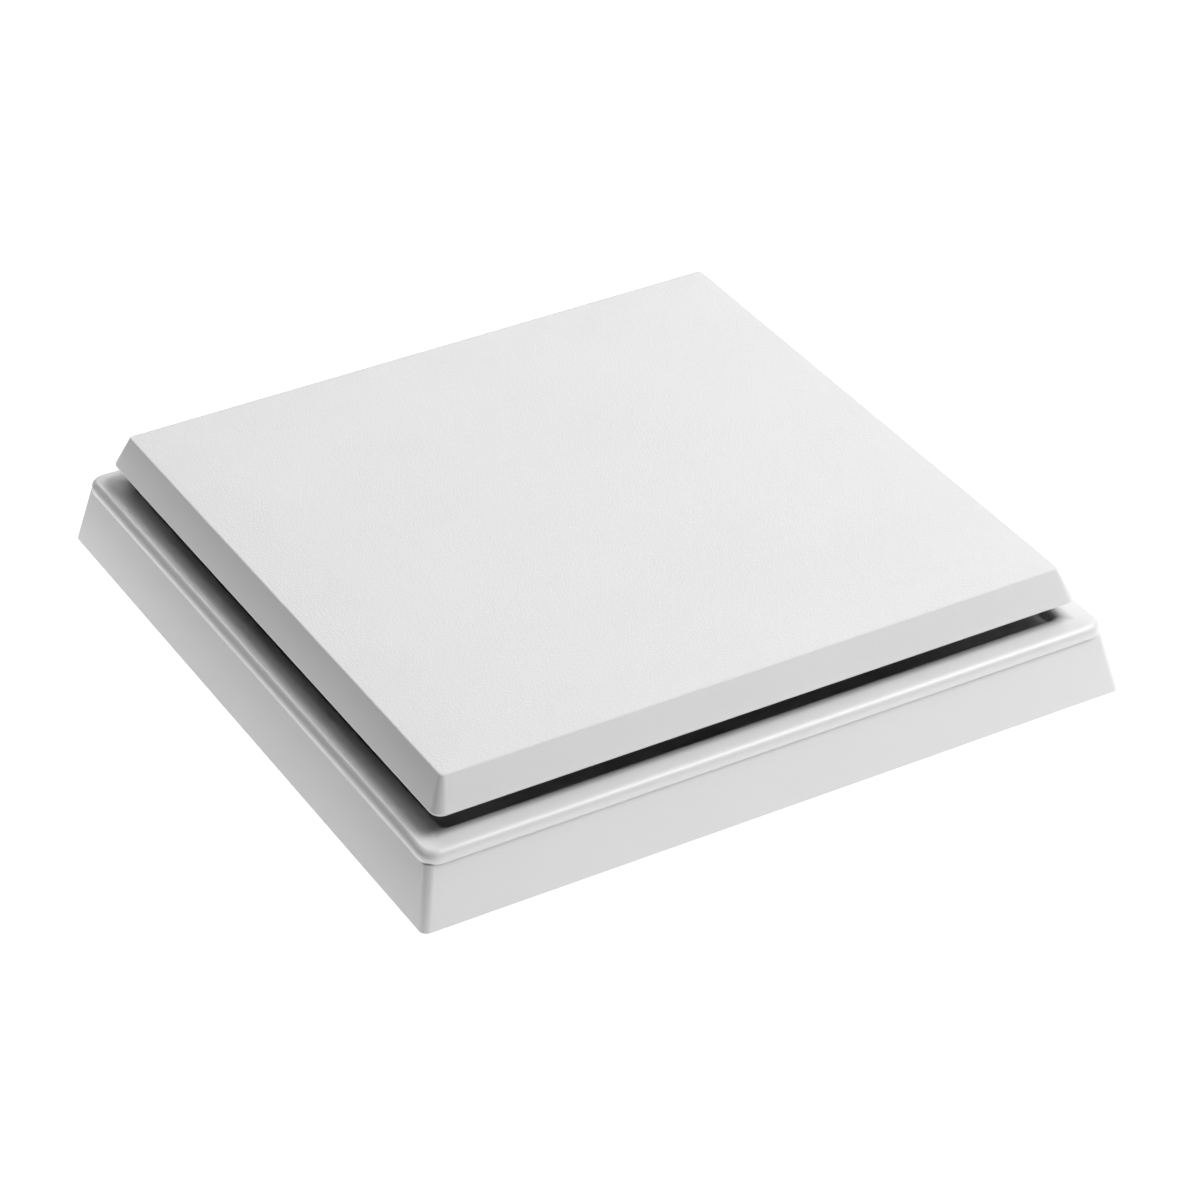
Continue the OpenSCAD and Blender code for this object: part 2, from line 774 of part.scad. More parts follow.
module electronics_cover() {
    z = board_top + 0.1;
    color("white") difference() {
        union() {
            translate([0, 0, z]) linear_extrude(lid_top - z) board_shape(lid_x1, 0.4);
        }
        difference() {
            translate([0, 0, z - 1]) linear_extrude(lid_top - lid_t - z + 1)
                board_shape(lid_x1, 0.4 + lid_t);
            translate(lid_screw) peg(2.6, z, lid_top);
        }
        translate(lid_screw) peg(1.4, z - 1, lid_top + 1);
        translate(lid_screw) peg(2.8, lid_top - 1.6, lid_top + 1);
        for (p = [timer_at, humidity_at]) translate(p) peg(knob_r + 0.5, z, lid_top + 1);
        for (k = [-2:2]) translate([sensor_at[0] + k * 1.8 - 0.45, sensor_at[1] - 1.8, lid_top - 3])
            cube([0.9, 3.6, 5]);
        translate([-connector[0] / 2 - 0.5, board_cut - 2, z - 1]) cube([connector[0] + 1, 4, 5]);
    }
}

module cover_screw() {
    color("silver") translate([lid_screw[0], lid_screw[1]])
        pan_screw(1.2, lid_top - 1.6, 1.2, 2.4, 1.5);
}

module on_board(x, y, w, d, h) {
    translate([x, y, board_top]) cube([w, d, h]);
}

module terminal_block() {
    color("whitesmoke") difference() {
        on_board(terminal_x, terminal_y, terminal_d, 3 * terminal_pitch, terminal_top - board_top);
        for (i = [0:2]) translate([terminal_x, terminal_y + (i + 0.5) * terminal_pitch, 0]) {
            translate([terminal_d / 2, 0]) peg(1.9, board_top + 1.5, terminal_top + 1);
            translate([terminal_d / 2, -1.5, board_top + 1.2]) cube([terminal_d, 3, 3]);
        }
    }
}

module terminal_screws() {
    color("silver") for (i = [0:2])
        translate([terminal_x + terminal_d / 2, terminal_y + (i + 0.5) * terminal_pitch])
            difference() {
                peg(1.8, board_top + 4.2, terminal_top - 0.8);
                translate([-2, -0.3, terminal_top - 1.6]) cube([4, 0.6, 2]);
            }
}

module relay() {
    color("black") on_board(-20, 67, 12, 10, part_h);
}

module film_capacitor() {
    color("goldenrod") on_board(8, 65.5, 5.5, 11, part_h);
}

module electrolytic_capacitors() {
    color("navy") for (p = [[-4.4, 73.5], [3, 73.5]]) translate(p) {
        peg(3.2, board_top, board_top + part_h - 0.4);
        peg(2.7, board_top + part_h - 0.4 - eps, board_top + part_h);
    }
}

module choke() {
    color("darkorange") translate([-43, 58, board_top]) {
        cylinder(h = 1, r = 4);
        cylinder(h = part_h - 0.6, r = 2.6);
        translate([0, 0, part_h - 1.6]) cylinder(h = 1, r = 4);
    }
}

// Where a part may start on the board at x, a little outside the round cut
function past_cut(x, gap) = sqrt(board_cut * board_cut - x * x) + gap;

module chips() {
    color("black") {
        on_board(-30, past_cut(25, 2.4), 5, 4, 1.2);
        on_board(-21, past_cut(17, 2.5), 4, 3, 1.1);
        on_board(20, past_cut(20, 4.4), 4, 5, 1.5);
    }
}

module humidity_sensor() {
    color("white") translate([sensor_at[0] - 1.5, sensor_at[1] - 1.5, board_top]) difference() {
        cube([3, 3, 1.2]);
        translate([1.5, 1.5, 0.7]) cylinder(h = 1, r = 0.6);
    }
}

module trimmer_bodies() {
    color("royalblue") for (p = [timer_at, humidity_at]) translate(p) difference() {
        translate([-3.4, -3.4, board_top]) cube([6.8, 6.8, 3.4]);
        peg(1 + run_fit, board_top + 1, board_top + 4);
    }
}

module trimmer_knob(p) {
    color("white") translate(p) difference() {
        union() {
            peg(knob_r, board_top + 3.5, tray_under - 0.5);
            peg(1, board_top + 1.2, board_top + 3.6);
        }
        translate([-knob_r - 1, -0.4, tray_under - 1.7]) cube([2 * knob_r - 0.4, 0.8, 2]);
    }
}

module lead_connector() {
    color("ivory") difference() {
        on_board(-connector[0] / 2, connector_y, connector[0], connector[1], connector[2]);
        translate([0, connector_y - 1, lead_path[0][2]]) rotate([-90, 0, 0])
            cylinder(h = lead_path[0][1] - connector_y + 1, r = lead_r + 0.05);
    }
}

module motor_lead() {
    color("gray") wire(lead_path, lead_r, [1, 0, 0]);
}

// ---------- cable entry ----------

module cable_grommet() {
    r = cable_r + grommet_wall;
    color("dimgray") translate(cable_at) difference() {
        union() {
            peg(r - run_fit, 0, plate_t);
            peg(r + 1.2, plate_t, plate_t + 1.4);
        }
        peg(cable_r, -1, plate_t + 3);
    }
}

module cable_clamp() {
    mid = (clamp_y[0] + clamp_y[1]) / 2;
    span = clamp_y[1] - clamp_y[0];
    color("white") difference() {
        union() {
            translate([clamp_x - clamp_w / 2, clamp_y[0] - 3, clamp_z]) cube([clamp_w, span + 6, clamp_t]);
            for (k = [-1, 1]) translate([clamp_x + k * 1.4 - 0.4, mid - 3.2, clamp_z - 0.6])
                cube([0.8, 6.4, 1]);
        }
        for (y = clamp_y) translate([clamp_x, y]) peg(clamp_screw_r + 0.3, clamp_z - 1, clamp_z + clamp_t + 1);
    }
}

module clamp_screws() {
    color("silver") for (y = clamp_y) translate([clamp_x, y])
        pan_screw(clamp_screw_r, clamp_z + clamp_t, 1.5, 2.5, 1.6);
}

// ---------- what is drawn ----------

front_panel();
panel_pins();
pin_grommets();
inlet_fascia();
skirt();
fascia_screws();
base_plate();
fixing_bushes();
fan_tube();
tube_screws();
finger_guard();
motor_bracket();
bearing_tube();
bearing(bracket_top - 2.4 - bearing_h);  // front_bearing
bearing(bearing_tube_end);  // rear_bearing
motor_board();
stator_core();
stator_windings();
shaft_clip();
preload_spring();
motor_shaft();
rotor_cup();
rotor_magnet();
impeller();
shutter_frame();
flap_pin();
flap_upper();
flap_lower();
flap_spring(-3.9, -1.2);  // upper_spring
mirror([0, 1, 0]) flap_spring(3.1, 0.4);  // lower_spring
control_board();
board_screws();
electronics_cover();
cover_screw();
terminal_block();
terminal_screws();
relay();
film_capacitor();
electrolytic_capacitors();
choke();
chips();
humidity_sensor();
trimmer_bodies();
trimmer_knob(timer_at);  // timer_knob
trimmer_knob(humidity_at);  // humidity_knob
motor_lead();
lead_connector();
cable_grommet();
cable_clamp();
clamp_screws();
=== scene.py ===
"""Bathroom extractor fan: finishes, detailed pieces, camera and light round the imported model."""
import math
import bmesh
import bpy
from mathutils import Matrix, Vector


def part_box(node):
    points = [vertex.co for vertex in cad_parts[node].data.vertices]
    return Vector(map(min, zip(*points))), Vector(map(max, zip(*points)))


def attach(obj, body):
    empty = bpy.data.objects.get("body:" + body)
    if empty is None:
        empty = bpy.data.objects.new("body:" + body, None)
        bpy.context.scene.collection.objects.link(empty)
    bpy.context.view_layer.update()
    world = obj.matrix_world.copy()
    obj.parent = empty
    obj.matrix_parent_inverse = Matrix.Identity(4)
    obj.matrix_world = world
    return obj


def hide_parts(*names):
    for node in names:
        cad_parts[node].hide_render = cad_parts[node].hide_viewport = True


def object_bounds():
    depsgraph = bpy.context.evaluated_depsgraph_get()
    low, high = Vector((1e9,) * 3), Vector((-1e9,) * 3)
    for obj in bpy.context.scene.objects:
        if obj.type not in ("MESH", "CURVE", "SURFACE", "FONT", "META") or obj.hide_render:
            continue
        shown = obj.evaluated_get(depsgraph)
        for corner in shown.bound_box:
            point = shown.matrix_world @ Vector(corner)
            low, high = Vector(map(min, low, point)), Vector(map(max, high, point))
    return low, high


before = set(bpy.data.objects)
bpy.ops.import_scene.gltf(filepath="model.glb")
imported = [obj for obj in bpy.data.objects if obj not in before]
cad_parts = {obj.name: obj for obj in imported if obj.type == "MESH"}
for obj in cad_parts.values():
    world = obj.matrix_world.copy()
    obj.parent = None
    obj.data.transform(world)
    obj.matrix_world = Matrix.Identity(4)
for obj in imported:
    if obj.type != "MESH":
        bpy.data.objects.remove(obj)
cad_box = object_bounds()
MM = 0.001


# ---------------------------------------------------------------- camera

def place_camera():
    """Looks down on the near corner through a long lens."""
    azimuth, elevation, roll = math.radians(60.51), math.radians(33.85), math.radians(-0.46)
    back = Vector((math.sin(azimuth) * math.cos(elevation),
                   -math.cos(azimuth) * math.cos(elevation), math.sin(elevation)))
    level = Vector((math.cos(azimuth), math.sin(azimuth), 0.0))
    upright = back.cross(level)
    right = level * math.cos(roll) + upright * math.sin(roll)
    up = upright * math.cos(roll) - level * math.sin(roll)
    turn = Matrix((right, up, back)).transposed()
    data = bpy.data.cameras.new("camera")
    data.sensor_fit = "HORIZONTAL"
    data.sensor_width = 36.0
    data.lens = 130.15
    data.clip_start = 0.02
    data.clip_end = 30.0
    camera = bpy.data.objects.new("camera", data)
    bpy.context.scene.collection.objects.link(camera)
    aside, below, away = -4.05, -2.52, -1018.8
    offset = turn @ Vector((aside * MM, below * MM, away * MM))
    camera.matrix_world = Matrix.Translation(-offset) @ turn.to_4x4()
    bpy.context.scene.camera = camera


place_camera()


# ---------------------------------------------------------------- wiring

class Wiring:
    """A node tree under construction. A value for a socket is a number or another socket."""

    def __init__(self, tree):
        self.tree, self.nodes, self.links = tree, tree.nodes, tree.links

    def feed(self, socket, value):
        if isinstance(value, bpy.types.NodeSocket):
            self.links.new(value, socket)
        else:
            socket.default_value = value

    def add(self, kind, settings=None, **values):
        """A node with its settings, its inputs fed by name."""
        node = self.nodes.new(kind)
        for label, value in (settings or {}).items():
            setattr(node, label, value)
        for label, value in values.items():
            self.feed(next(s for s in node.inputs
                           if s.enabled and s.name.replace(" ", "_") == label), value)
        return node

    def fill(self, node, *values):
        """Feeds a node's inputs in their order."""
        for socket, value in zip(node.inputs, values):
            self.feed(socket, value)
        return node.outputs[0]

    def maths(self, kind, first, second=0.0):
        return self.fill(self.add("ShaderNodeMath", {"operation": kind}), first, second)

    def ramp(self, value, low, high, out_low, out_high):
        return self.add("ShaderNodeMapRange", Value=value, From_Min=low, From_Max=high,
                        To_Min=out_low, To_Max=out_high).outputs["Result"]


# ---------------------------------------------------------------- finishes

def opaque(value):
    """A colour for a socket; another socket passes through."""
    return (*value, 1.0) if isinstance(value, tuple) else value


class Finish(Wiring):
    """A material whose colour, roughness and relief come from patterns fixed to the piece."""

    def __init__(self, name, roughness=0.5, **plain):
        self.material = bpy.data.materials.new(name)
        self.material.use_nodes = True
        super().__init__(self.material.node_tree)
        self.shader = self.nodes["Principled BSDF"]
        self.shader.inputs["Roughness"].default_value = roughness
        for label, value in plain.items():
            self.shader.inputs[label.replace("_", " ")].default_value = value
        self.place = self.add("ShaderNodeTexCoord").outputs["Object"]

    def noise(self, scale, detail=3.0, roughness=0.55, place=None):
        return self.add("ShaderNodeTexNoise", Vector=place or self.place, Scale=scale,
                        Detail=detail, Roughness=roughness).outputs["Fac"]

    def stretched(self, x, y, z):
        """The piece's own coordinates, scaled, for a pattern that runs one way."""
        return self.add("ShaderNodeMapping", Vector=self.place, Scale=(x, y, z)).outputs[0]

    def axis(self, letter):
        return self.add("ShaderNodeSeparateXYZ", Vector=self.place).outputs[letter]

    def blend(self, amount, first, second):
        """Mixes two colours; each is a colour tuple or a socket."""
        node = self.add("ShaderNodeMix", {"data_type": "RGBA"})
        self.feed(node.inputs["Factor"], amount)
        self.feed(node.inputs[6], opaque(first))
        self.feed(node.inputs[7], opaque(second))
        return node.outputs[2]

    def colour(self, value):
        self.feed(self.shader.inputs["Base Color"], opaque(value))

    def rough(self, value):
        self.feed(self.shader.inputs["Roughness"], value)

    def bump(self, height, strength, distance):
        node = self.add("ShaderNodeBump", Strength=strength, Distance=distance, Height=height)
        self.feed(self.shader.inputs["Normal"], node.outputs["Normal"])


WHITE = (0.87, 0.87, 0.87)
FLOW_SCALE, SPARK_SCALE = 38.0, 2600.0


def moulded(name, colour, roughness=0.36, spread=0.06, grain=0.00002, mottle=0.03, **plain):
    """Injection-moulded plastic: faint flow mottling, fine spark texture, uneven sheen."""
    finish = Finish(name, roughness, **plain)
    flow = finish.noise(FLOW_SCALE, 2.0)
    darker = tuple(c * (1.0 - mottle) for c in colour)
    finish.colour(finish.blend(finish.ramp(flow, 0.3, 0.7, 0.0, 1.0), darker, colour))
    fine = finish.noise(SPARK_SCALE, 2.0)
    cloud = finish.noise(160.0, 3.0)
    finish.rough(finish.ramp(cloud, 0.3, 0.7, roughness - spread, roughness + spread))
    finish.bump(fine, 0.35, grain)
    return finish


def metal(name, colour, roughness, stretch=(1.0, 1.0, 1.0), scale=900.0, tarnish=0.12):
    """Bare or plated metal with fine working marks."""
    finish = Finish(name, roughness, Metallic=1.0)
    marks = finish.noise(scale, 4.0, 0.6, finish.stretched(*stretch))
    cloud = finish.noise(220.0, 3.0)
    darker = tuple(c * (1.0 - tarnish) for c in colour)
    finish.colour(finish.blend(finish.ramp(cloud, 0.35, 0.65, 0.0, 1.0), darker, colour))
    finish.rough(finish.ramp(marks, 0.3, 0.7, roughness * 0.75, roughness * 1.3))
    finish.bump(marks, 0.3, 0.00003)
    return finish


def satin_white(name):
    return moulded(name, WHITE, 0.32, 0.008, 0.000006, 0.008)


def make_finishes():
    shades = {}
    shades["white"] = satin_white("satin_white_plastic")
    shades["fascia"] = white_rim_grey_tray()
    shades["frame_white"] = moulded("frame_white_plastic", (0.84, 0.84, 0.835), 0.42, 0.02, 0.00001)
    shades["grey"] = moulded("pale_grey_plastic", (0.62, 0.63, 0.64), 0.45)
    shades["blade"] = moulded("impeller_plastic", (0.78, 0.79, 0.8), 0.33)
    shades["terminal"] = moulded("terminal_plastic", (0.5, 0.51, 0.52), 0.5)
    shades["black"] = moulded("black_case", (0.025, 0.025, 0.027), 0.42, mottle=0.2)
    shades["blue"] = moulded("blue_case", (0.06, 0.18, 0.55), 0.35, mottle=0.1)
    shades["sleeve"] = moulded("lead_sleeve", (0.2, 0.2, 0.21), 0.5, mottle=0.1)
    shades["can"] = moulded("capacitor_sleeve", (0.02, 0.03, 0.1), 0.25, mottle=0.15)
    shades["film"] = moulded("film_capacitor_case", (0.62, 0.4, 0.05), 0.3, mottle=0.1)
    shades["rubber"] = moulded("dark_rubber", (0.045, 0.045, 0.047), 0.7, 0.08, 0.00005, 0.25)
    shades["ferrite"] = moulded("ferrite", (0.07, 0.068, 0.07), 0.6, 0.1, 0.00006, 0.3)
    shades["steel"] = metal("ground_steel", (0.6, 0.61, 0.62), 0.25, (1, 1, 12))
    shades["plated"] = metal("zinc_plate", (0.68, 0.69, 0.7), 0.28)
    shades["brass"] = metal("turned_brass", (0.75, 0.56, 0.25), 0.25, (1, 1, 14))
    shades["panel"] = leather_grain_face()
    shades["core"] = stacked_laminations()
    shades["copper"] = enamelled_copper()
    shades["board"] = solder_mask()
    return {key: value.material for key, value in shades.items()}


def white_rim_grey_tray():
    """Satin white rim; the tray below the panel carries painted shade, a darker grey, blending into
    the white on its rolled edge.
    """
    shade_up_to, white_from = 77.5 * MM, 82.0 * MM
    finish = satin_white("white_rim_grey_tray")
    far_x = finish.maths("ABSOLUTE", finish.axis("X"), 0.0)
    far_y = finish.maths("ABSOLUTE", finish.axis("Y"), 0.0)
    # painted shade mask: 0 in the tray under the panel, rising to 1 towards the rim
    rim = finish.ramp(finish.maths("MAXIMUM", far_x, far_y), shade_up_to, white_from, 0.0, 1.0)
    flow = finish.ramp(finish.noise(FLOW_SCALE, 2.0), 0.3, 0.7, 0.0, 1.0)
    # painted shade: dark grey standing in for the shade that falls in the slot under the panel
    grey = finish.blend(flow, (0.17, 0.17, 0.175), (0.2, 0.2, 0.205))
    finish.colour(finish.blend(rim, grey, WHITE))
    return finish


def leather_grain_face():
    """White plastic, smooth on its bevels, with a fine leather grain on the face."""
    low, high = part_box("front_panel")
    finish = Finish("leather_grain_white", 0.5)
    flow = finish.noise(30.0, 2.0)
    finish.colour(finish.blend(finish.ramp(flow, 0.3, 0.7, 0.0, 1.0),
                               (0.855, 0.855, 0.855), WHITE))
    face = finish.ramp(finish.axis("Z"), high.z - 0.5 * MM, high.z - 0.1 * MM, 0.0, 1.0)
    warp = finish.add("ShaderNodeTexNoise", Vector=finish.place, Scale=500.0)
    bent = finish.fill(finish.add("ShaderNodeVectorMath", {"operation": "MULTIPLY_ADD"}),
                       warp.outputs["Color"], (0.0008, 0.0008, 0.0008), finish.place)
    cells = finish.add("ShaderNodeTexVoronoi", {"feature": "DISTANCE_TO_EDGE"},
                       Vector=bent, Scale=1150.0)
    pebble = finish.ramp(cells.outputs["Distance"], 0.0, 0.22, 0.0, 1.0)
    pores = finish.noise(SPARK_SCALE, 3.0, 0.65)
    grain = finish.maths("ADD", pebble, finish.maths("MULTIPLY", pores, 0.6))
    finish.bump(finish.maths("MULTIPLY", grain, face), 0.55, 0.00007)
    finish.rough(finish.ramp(face, 0.0, 1.0, 0.3, 0.62))
    return finish


def stacked_laminations():
    """Lacquered electrical steel, one fine line to each lamination."""
    finish = Finish("stacked_laminations", 0.4, Metallic=0.85)
    sheets = finish.add("ShaderNodeTexWave", {"bands_direction": "Z"}, Vector=finish.place,
                        Scale=320.0, Distortion=0.4)
    finish.colour(finish.blend(sheets.outputs["Fac"], (0.12, 0.12, 0.13), (0.3, 0.31, 0.33)))
    finish.bump(sheets.outputs["Fac"], 0.5, 0.0001)
    return finish


def enamelled_copper():
    """Copper wire under a clear reddish enamel."""
    finish = Finish("enamelled_copper", 0.22, Metallic=1.0, Coat_Weight=0.6)
    cloud = finish.noise(500.0, 3.0)
    finish.colour(finish.blend(cloud, (0.5, 0.17, 0.06), (0.7, 0.3, 0.12)))
    finish.bump(finish.noise(1800.0), 0.2, 0.00003)
    return finish


def solder_mask():
    """Green solder mask over copper tracks and ground areas."""
    finish = Finish("green_solder_mask", 0.3, Coat_Weight=0.3)
    tracks = finish.add("ShaderNodeTexBrick", {"offset": 0.37}, Vector=finish.place, Scale=110.0,
                        Mortar_Size=0.045, Brick_Width=0.9, Row_Height=0.16,
                        Color1=(0, 0, 0, 1), Color2=(0, 0, 0, 1), Mortar=(1, 1, 1, 1))
    areas = finish.ramp(finish.noise(70.0, 1.0), 0.5, 0.56, 0.0, 1.0)
    copper = finish.maths("MAXIMUM", tracks.outputs["Fac"], finish.maths("MULTIPLY", areas, 0.7))
    finish.colour(finish.blend(copper, (0.012, 0.09, 0.035), (0.03, 0.2, 0.07)))
    finish.bump(copper, 0.4, 0.00004)
    return finish


FINISH = make_finishes()


# ---------------------------------------------------------------- shapes

def new_object(name, mesh):
    piece = bpy.data.objects.new(name, mesh)
    bpy.context.scene.collection.objects.link(piece)
    return piece


def from_bmesh(name, shape, outward=True):
    if outward:
        bmesh.ops.recalc_face_normals(shape, faces=shape.faces)
    mesh = bpy.data.meshes.new(name)
    shape.to_mesh(mesh)
    shape.free()
    return new_object(name, mesh)


def baked(piece):
    """Turns a piece with live modifiers into a plain mesh of the same name."""
    bpy.context.view_layer.update()
    graph = bpy.context.evaluated_depsgraph_get()
    mesh = bpy.data.meshes.new_from_object(piece.evaluated_get(graph))
    name = piece.name
    bpy.data.objects.remove(piece)
    return new_object(name, mesh)


def settle(piece, body, finish, stands_for=(), sharp=32.0):
    """Shades a finished piece, gives it its finish and hangs it on its body."""
    mesh = piece.data
    mesh.polygons.foreach_set("use_smooth", [True] * len(mesh.polygons))
    mesh.set_sharp_from_angle(angle=math.radians(sharp))
    if finish:
        mesh.materials.clear()
        mesh.materials.append(FINISH[finish])
    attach(piece, body)
    if stands_for:
        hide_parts(*stands_for)
    return piece


def eased(points, steps=5):
    """A closed outline whose points (x, z, radius) become rounded corners."""
    outline = []
    for index, (x, z, radius) in enumerate(points):
        here = Vector((x, z))
        to_last = Vector(points[index - 1][:2]) - here
        to_next = Vector(points[(index + 1) % len(points)][:2]) - here
        half_turn = to_last.angle(to_next) / 2.0
        if radius <= 0.0 or half_turn > math.radians(89.0):
            outline.append((x, z))
            continue
        reach = min(radius / math.tan(half_turn), to_last.length * 0.48, to_next.length * 0.48)
        radius = reach * math.tan(half_turn)
        centre = here + (to_last.normalized() + to_next.normalized()).normalized() * (
            radius / math.sin(half_turn))
        start = here + to_last.normalized() * reach - centre
        end = here + to_next.normalized() * reach - centre
        sweep = start.angle_signed(end)
        for step in range(steps + 1):
            turned = start.copy()
            turned.rotate(Matrix.Rotation(-sweep * step / steps, 2))
            outline.append(tuple(centre + turned))
    return outline


def arc(cx, cz, radius, start, end, steps):
    """Points on an arc, angles in degrees from +x towards +z."""
    return [(cx + radius * math.cos(math.radians(start + (end - start) * s / steps)),
             cz + radius * math.sin(math.radians(start + (end - start) * s / steps)))
            for s in range(steps + 1)]


def square_loop(half, corner, z, bend=8, side=15):
    """Rounded square, with points along its sides too."""
    corner = max(corner, 0.05)
    flat = half - corner
    points = []
    for quarter in range(4):
        turn = Matrix.Rotation(math.radians(90 * quarter), 2)
        run = [Vector((half, -flat + 2 * flat * (s + 1) / (side + 1))) for s in range(side)]
        bow = [Vector((flat + corner * math.cos(a), flat + corner * math.sin(a)))
               for a in (math.radians(90.0 * s / bend) for s in range(bend + 1))]
        points += [turn @ p for p in run + bow]
    return [Vector((p.x, p.y, z)) * MM for p in points]


def round_loop(radius, z, count=96, start=0.0):
    return [Vector((radius * math.cos(start + 2 * math.pi * i / count),
                    radius * math.sin(start + 2 * math.pi * i / count), z)) * MM
            for i in range(count)]


def loft(name, loops, closed=False):
    """Skin over loops with equal counts; closed joins the last loop to the first."""
    shape = bmesh.new()
    rings = [[shape.verts.new(p) for p in loop] for loop in loops]
    count = len(rings[0])
    pairs = list(zip(rings, rings[1:])) + ([(rings[-1], rings[0])] if closed else [])
    for low, high in pairs:
        for i in range(count):
            j = (i + 1) % count
            shape.faces.new((low[i], low[j], high[j], high[i]))
    if not closed:
        shape.faces.new(rings[0])
        shape.faces.new(rings[-1])
    return from_bmesh(name, shape)


def turned(name, outline, count=96):
    """A closed outline (radius, z) turned about the Z axis."""
    return loft(name, [round_loop(max(r, 0.01), z, count) for r, z in outline], closed=True)


def tube(name, path, radius, sides=12):
    """Round wire or lead along a path, without twist."""
    loops = []
    side = None
    for index, point in enumerate(path):
        ahead = (path[min(index + 1, len(path) - 1)] - path[max(index - 1, 0)]).normalized()
        if side is None:
            side = ahead.orthogonal().normalized()
        side = (side - ahead * side.dot(ahead)).normalized()
        across = ahead.cross(side)
        loops.append([point + (side * math.cos(a) + across * math.sin(a)) * radius
                      for a in (2 * math.pi * s / sides for s in range(sides))])
    return loft(name, loops)


def smooth_path(points, per_span=8):
    """Catmull-Rom curve through the points."""
    knots = [points[0]] + list(points) + [points[-1]]
    path = []
    for a, b, c, d in zip(knots, knots[1:], knots[2:], knots[3:]):
        for step in range(per_span):
            t = step / per_span
            path.append(0.5 * (2 * b + (c - a) * t + (2 * a - 5 * b + 4 * c - d) * t * t
                               + (3 * b - a - 3 * c + d) * t ** 3))
    return path + [points[-1]]


def plate(name, outlines, low, high, bevel=0.2):
    """A flat moulding: the first outline is its edge, the rest are holes (all in mm)."""
    curve = bpy.data.curves.new(name, "CURVE")
    curve.dimensions = "2D"
    curve.fill_mode = "BOTH"
    for outline in outlines:
        spline = curve.splines.new("POLY")
        spline.points.add(len(outline) - 1)
        for point, (x, y) in zip(spline.points, outline):
            point.co = (x * MM, y * MM, 0.0, 1.0)
        spline.use_cyclic_u = True
    curve.extrude = ((high - low) / 2 - bevel) * MM
    curve.bevel_depth = bevel * MM
    curve.bevel_resolution = 2
    curve.offset = -bevel * MM
    flat = baked(new_object(name, curve))
    flat.data.transform(Matrix.Translation((0, 0, (low + high) / 2 * MM)))
    shape = bmesh.new()
    shape.from_mesh(flat.data)
    bmesh.ops.remove_doubles(shape, verts=shape.verts, dist=1e-7)
    bmesh.ops.recalc_face_normals(shape, faces=shape.faces)
    shape.to_mesh(flat.data)
    shape.free()
    return flat


def corners(at):
    """The corners of a square, each at a distance along X and Y."""
    return [(x, y) for x in (-at, at) for y in (-at, at)]


def circle2(x, y, radius, count=32):
    return [(x + radius * math.cos(2 * math.pi * i / count),
             y + radius * math.sin(2 * math.pi * i / count)) for i in range(count)]


def peg(name, x, y, outline, count=32):
    """A turned solid standing at x, y; outline runs (radius, z) from one pole to the other."""
    loops = [[Vector((x, y, 0)) * MM + p for p in round_loop(max(r, 0.01), z, count)]
             for r, z in outline]
    return loft(name, loops)


def block(name, low, high, bevel=0.3, segments=2):
    """A box with rounded edges, corners in mm."""
    shape = bmesh.new()
    bmesh.ops.create_cube(shape, size=1.0)
    for vert in shape.verts:
        vert.co = Vector([(low[i] + (high[i] - low[i]) * (vert.co[i] + 0.5)) * MM
                          for i in range(3)])
    bmesh.ops.bevel(shape, geom=shape.edges[:], offset=bevel * MM, segments=segments,
                    profile=0.5, affect="EDGES")
    return from_bmesh(name, shape)


def joined(name, pieces):
    """Several meshes as one piece."""
    shape = bmesh.new()
    for piece in pieces:
        shape.from_mesh(piece.data)
    mesh = bpy.data.meshes.new(name)
    shape.to_mesh(mesh)
    shape.free()
    for piece in pieces:
        bpy.data.objects.remove(piece)
    return new_object(name, mesh)


def carved(piece, cutters):
    """The piece less the cutters."""
    cutter = joined("cutter", cutters)
    cut = piece.modifiers.new("cut", "BOOLEAN")
    cut.operation = "DIFFERENCE"
    cut.solver = "EXACT"
    cut.use_self = True
    cut.object = cutter
    result = baked(piece)
    bpy.data.objects.remove(cutter)
    return result


def mirrored(piece, name):
    """A copy flipped across the XZ plane, its faces turned outwards again."""
    shape = bmesh.new()
    shape.from_mesh(piece.data)
    for vert in shape.verts:
        vert.co.y = -vert.co.y
    bmesh.ops.reverse_faces(shape, faces=shape.faces)
    return from_bmesh(name, shape, outward=False)


# ---------------------------------------------------------------- node trees for repeats

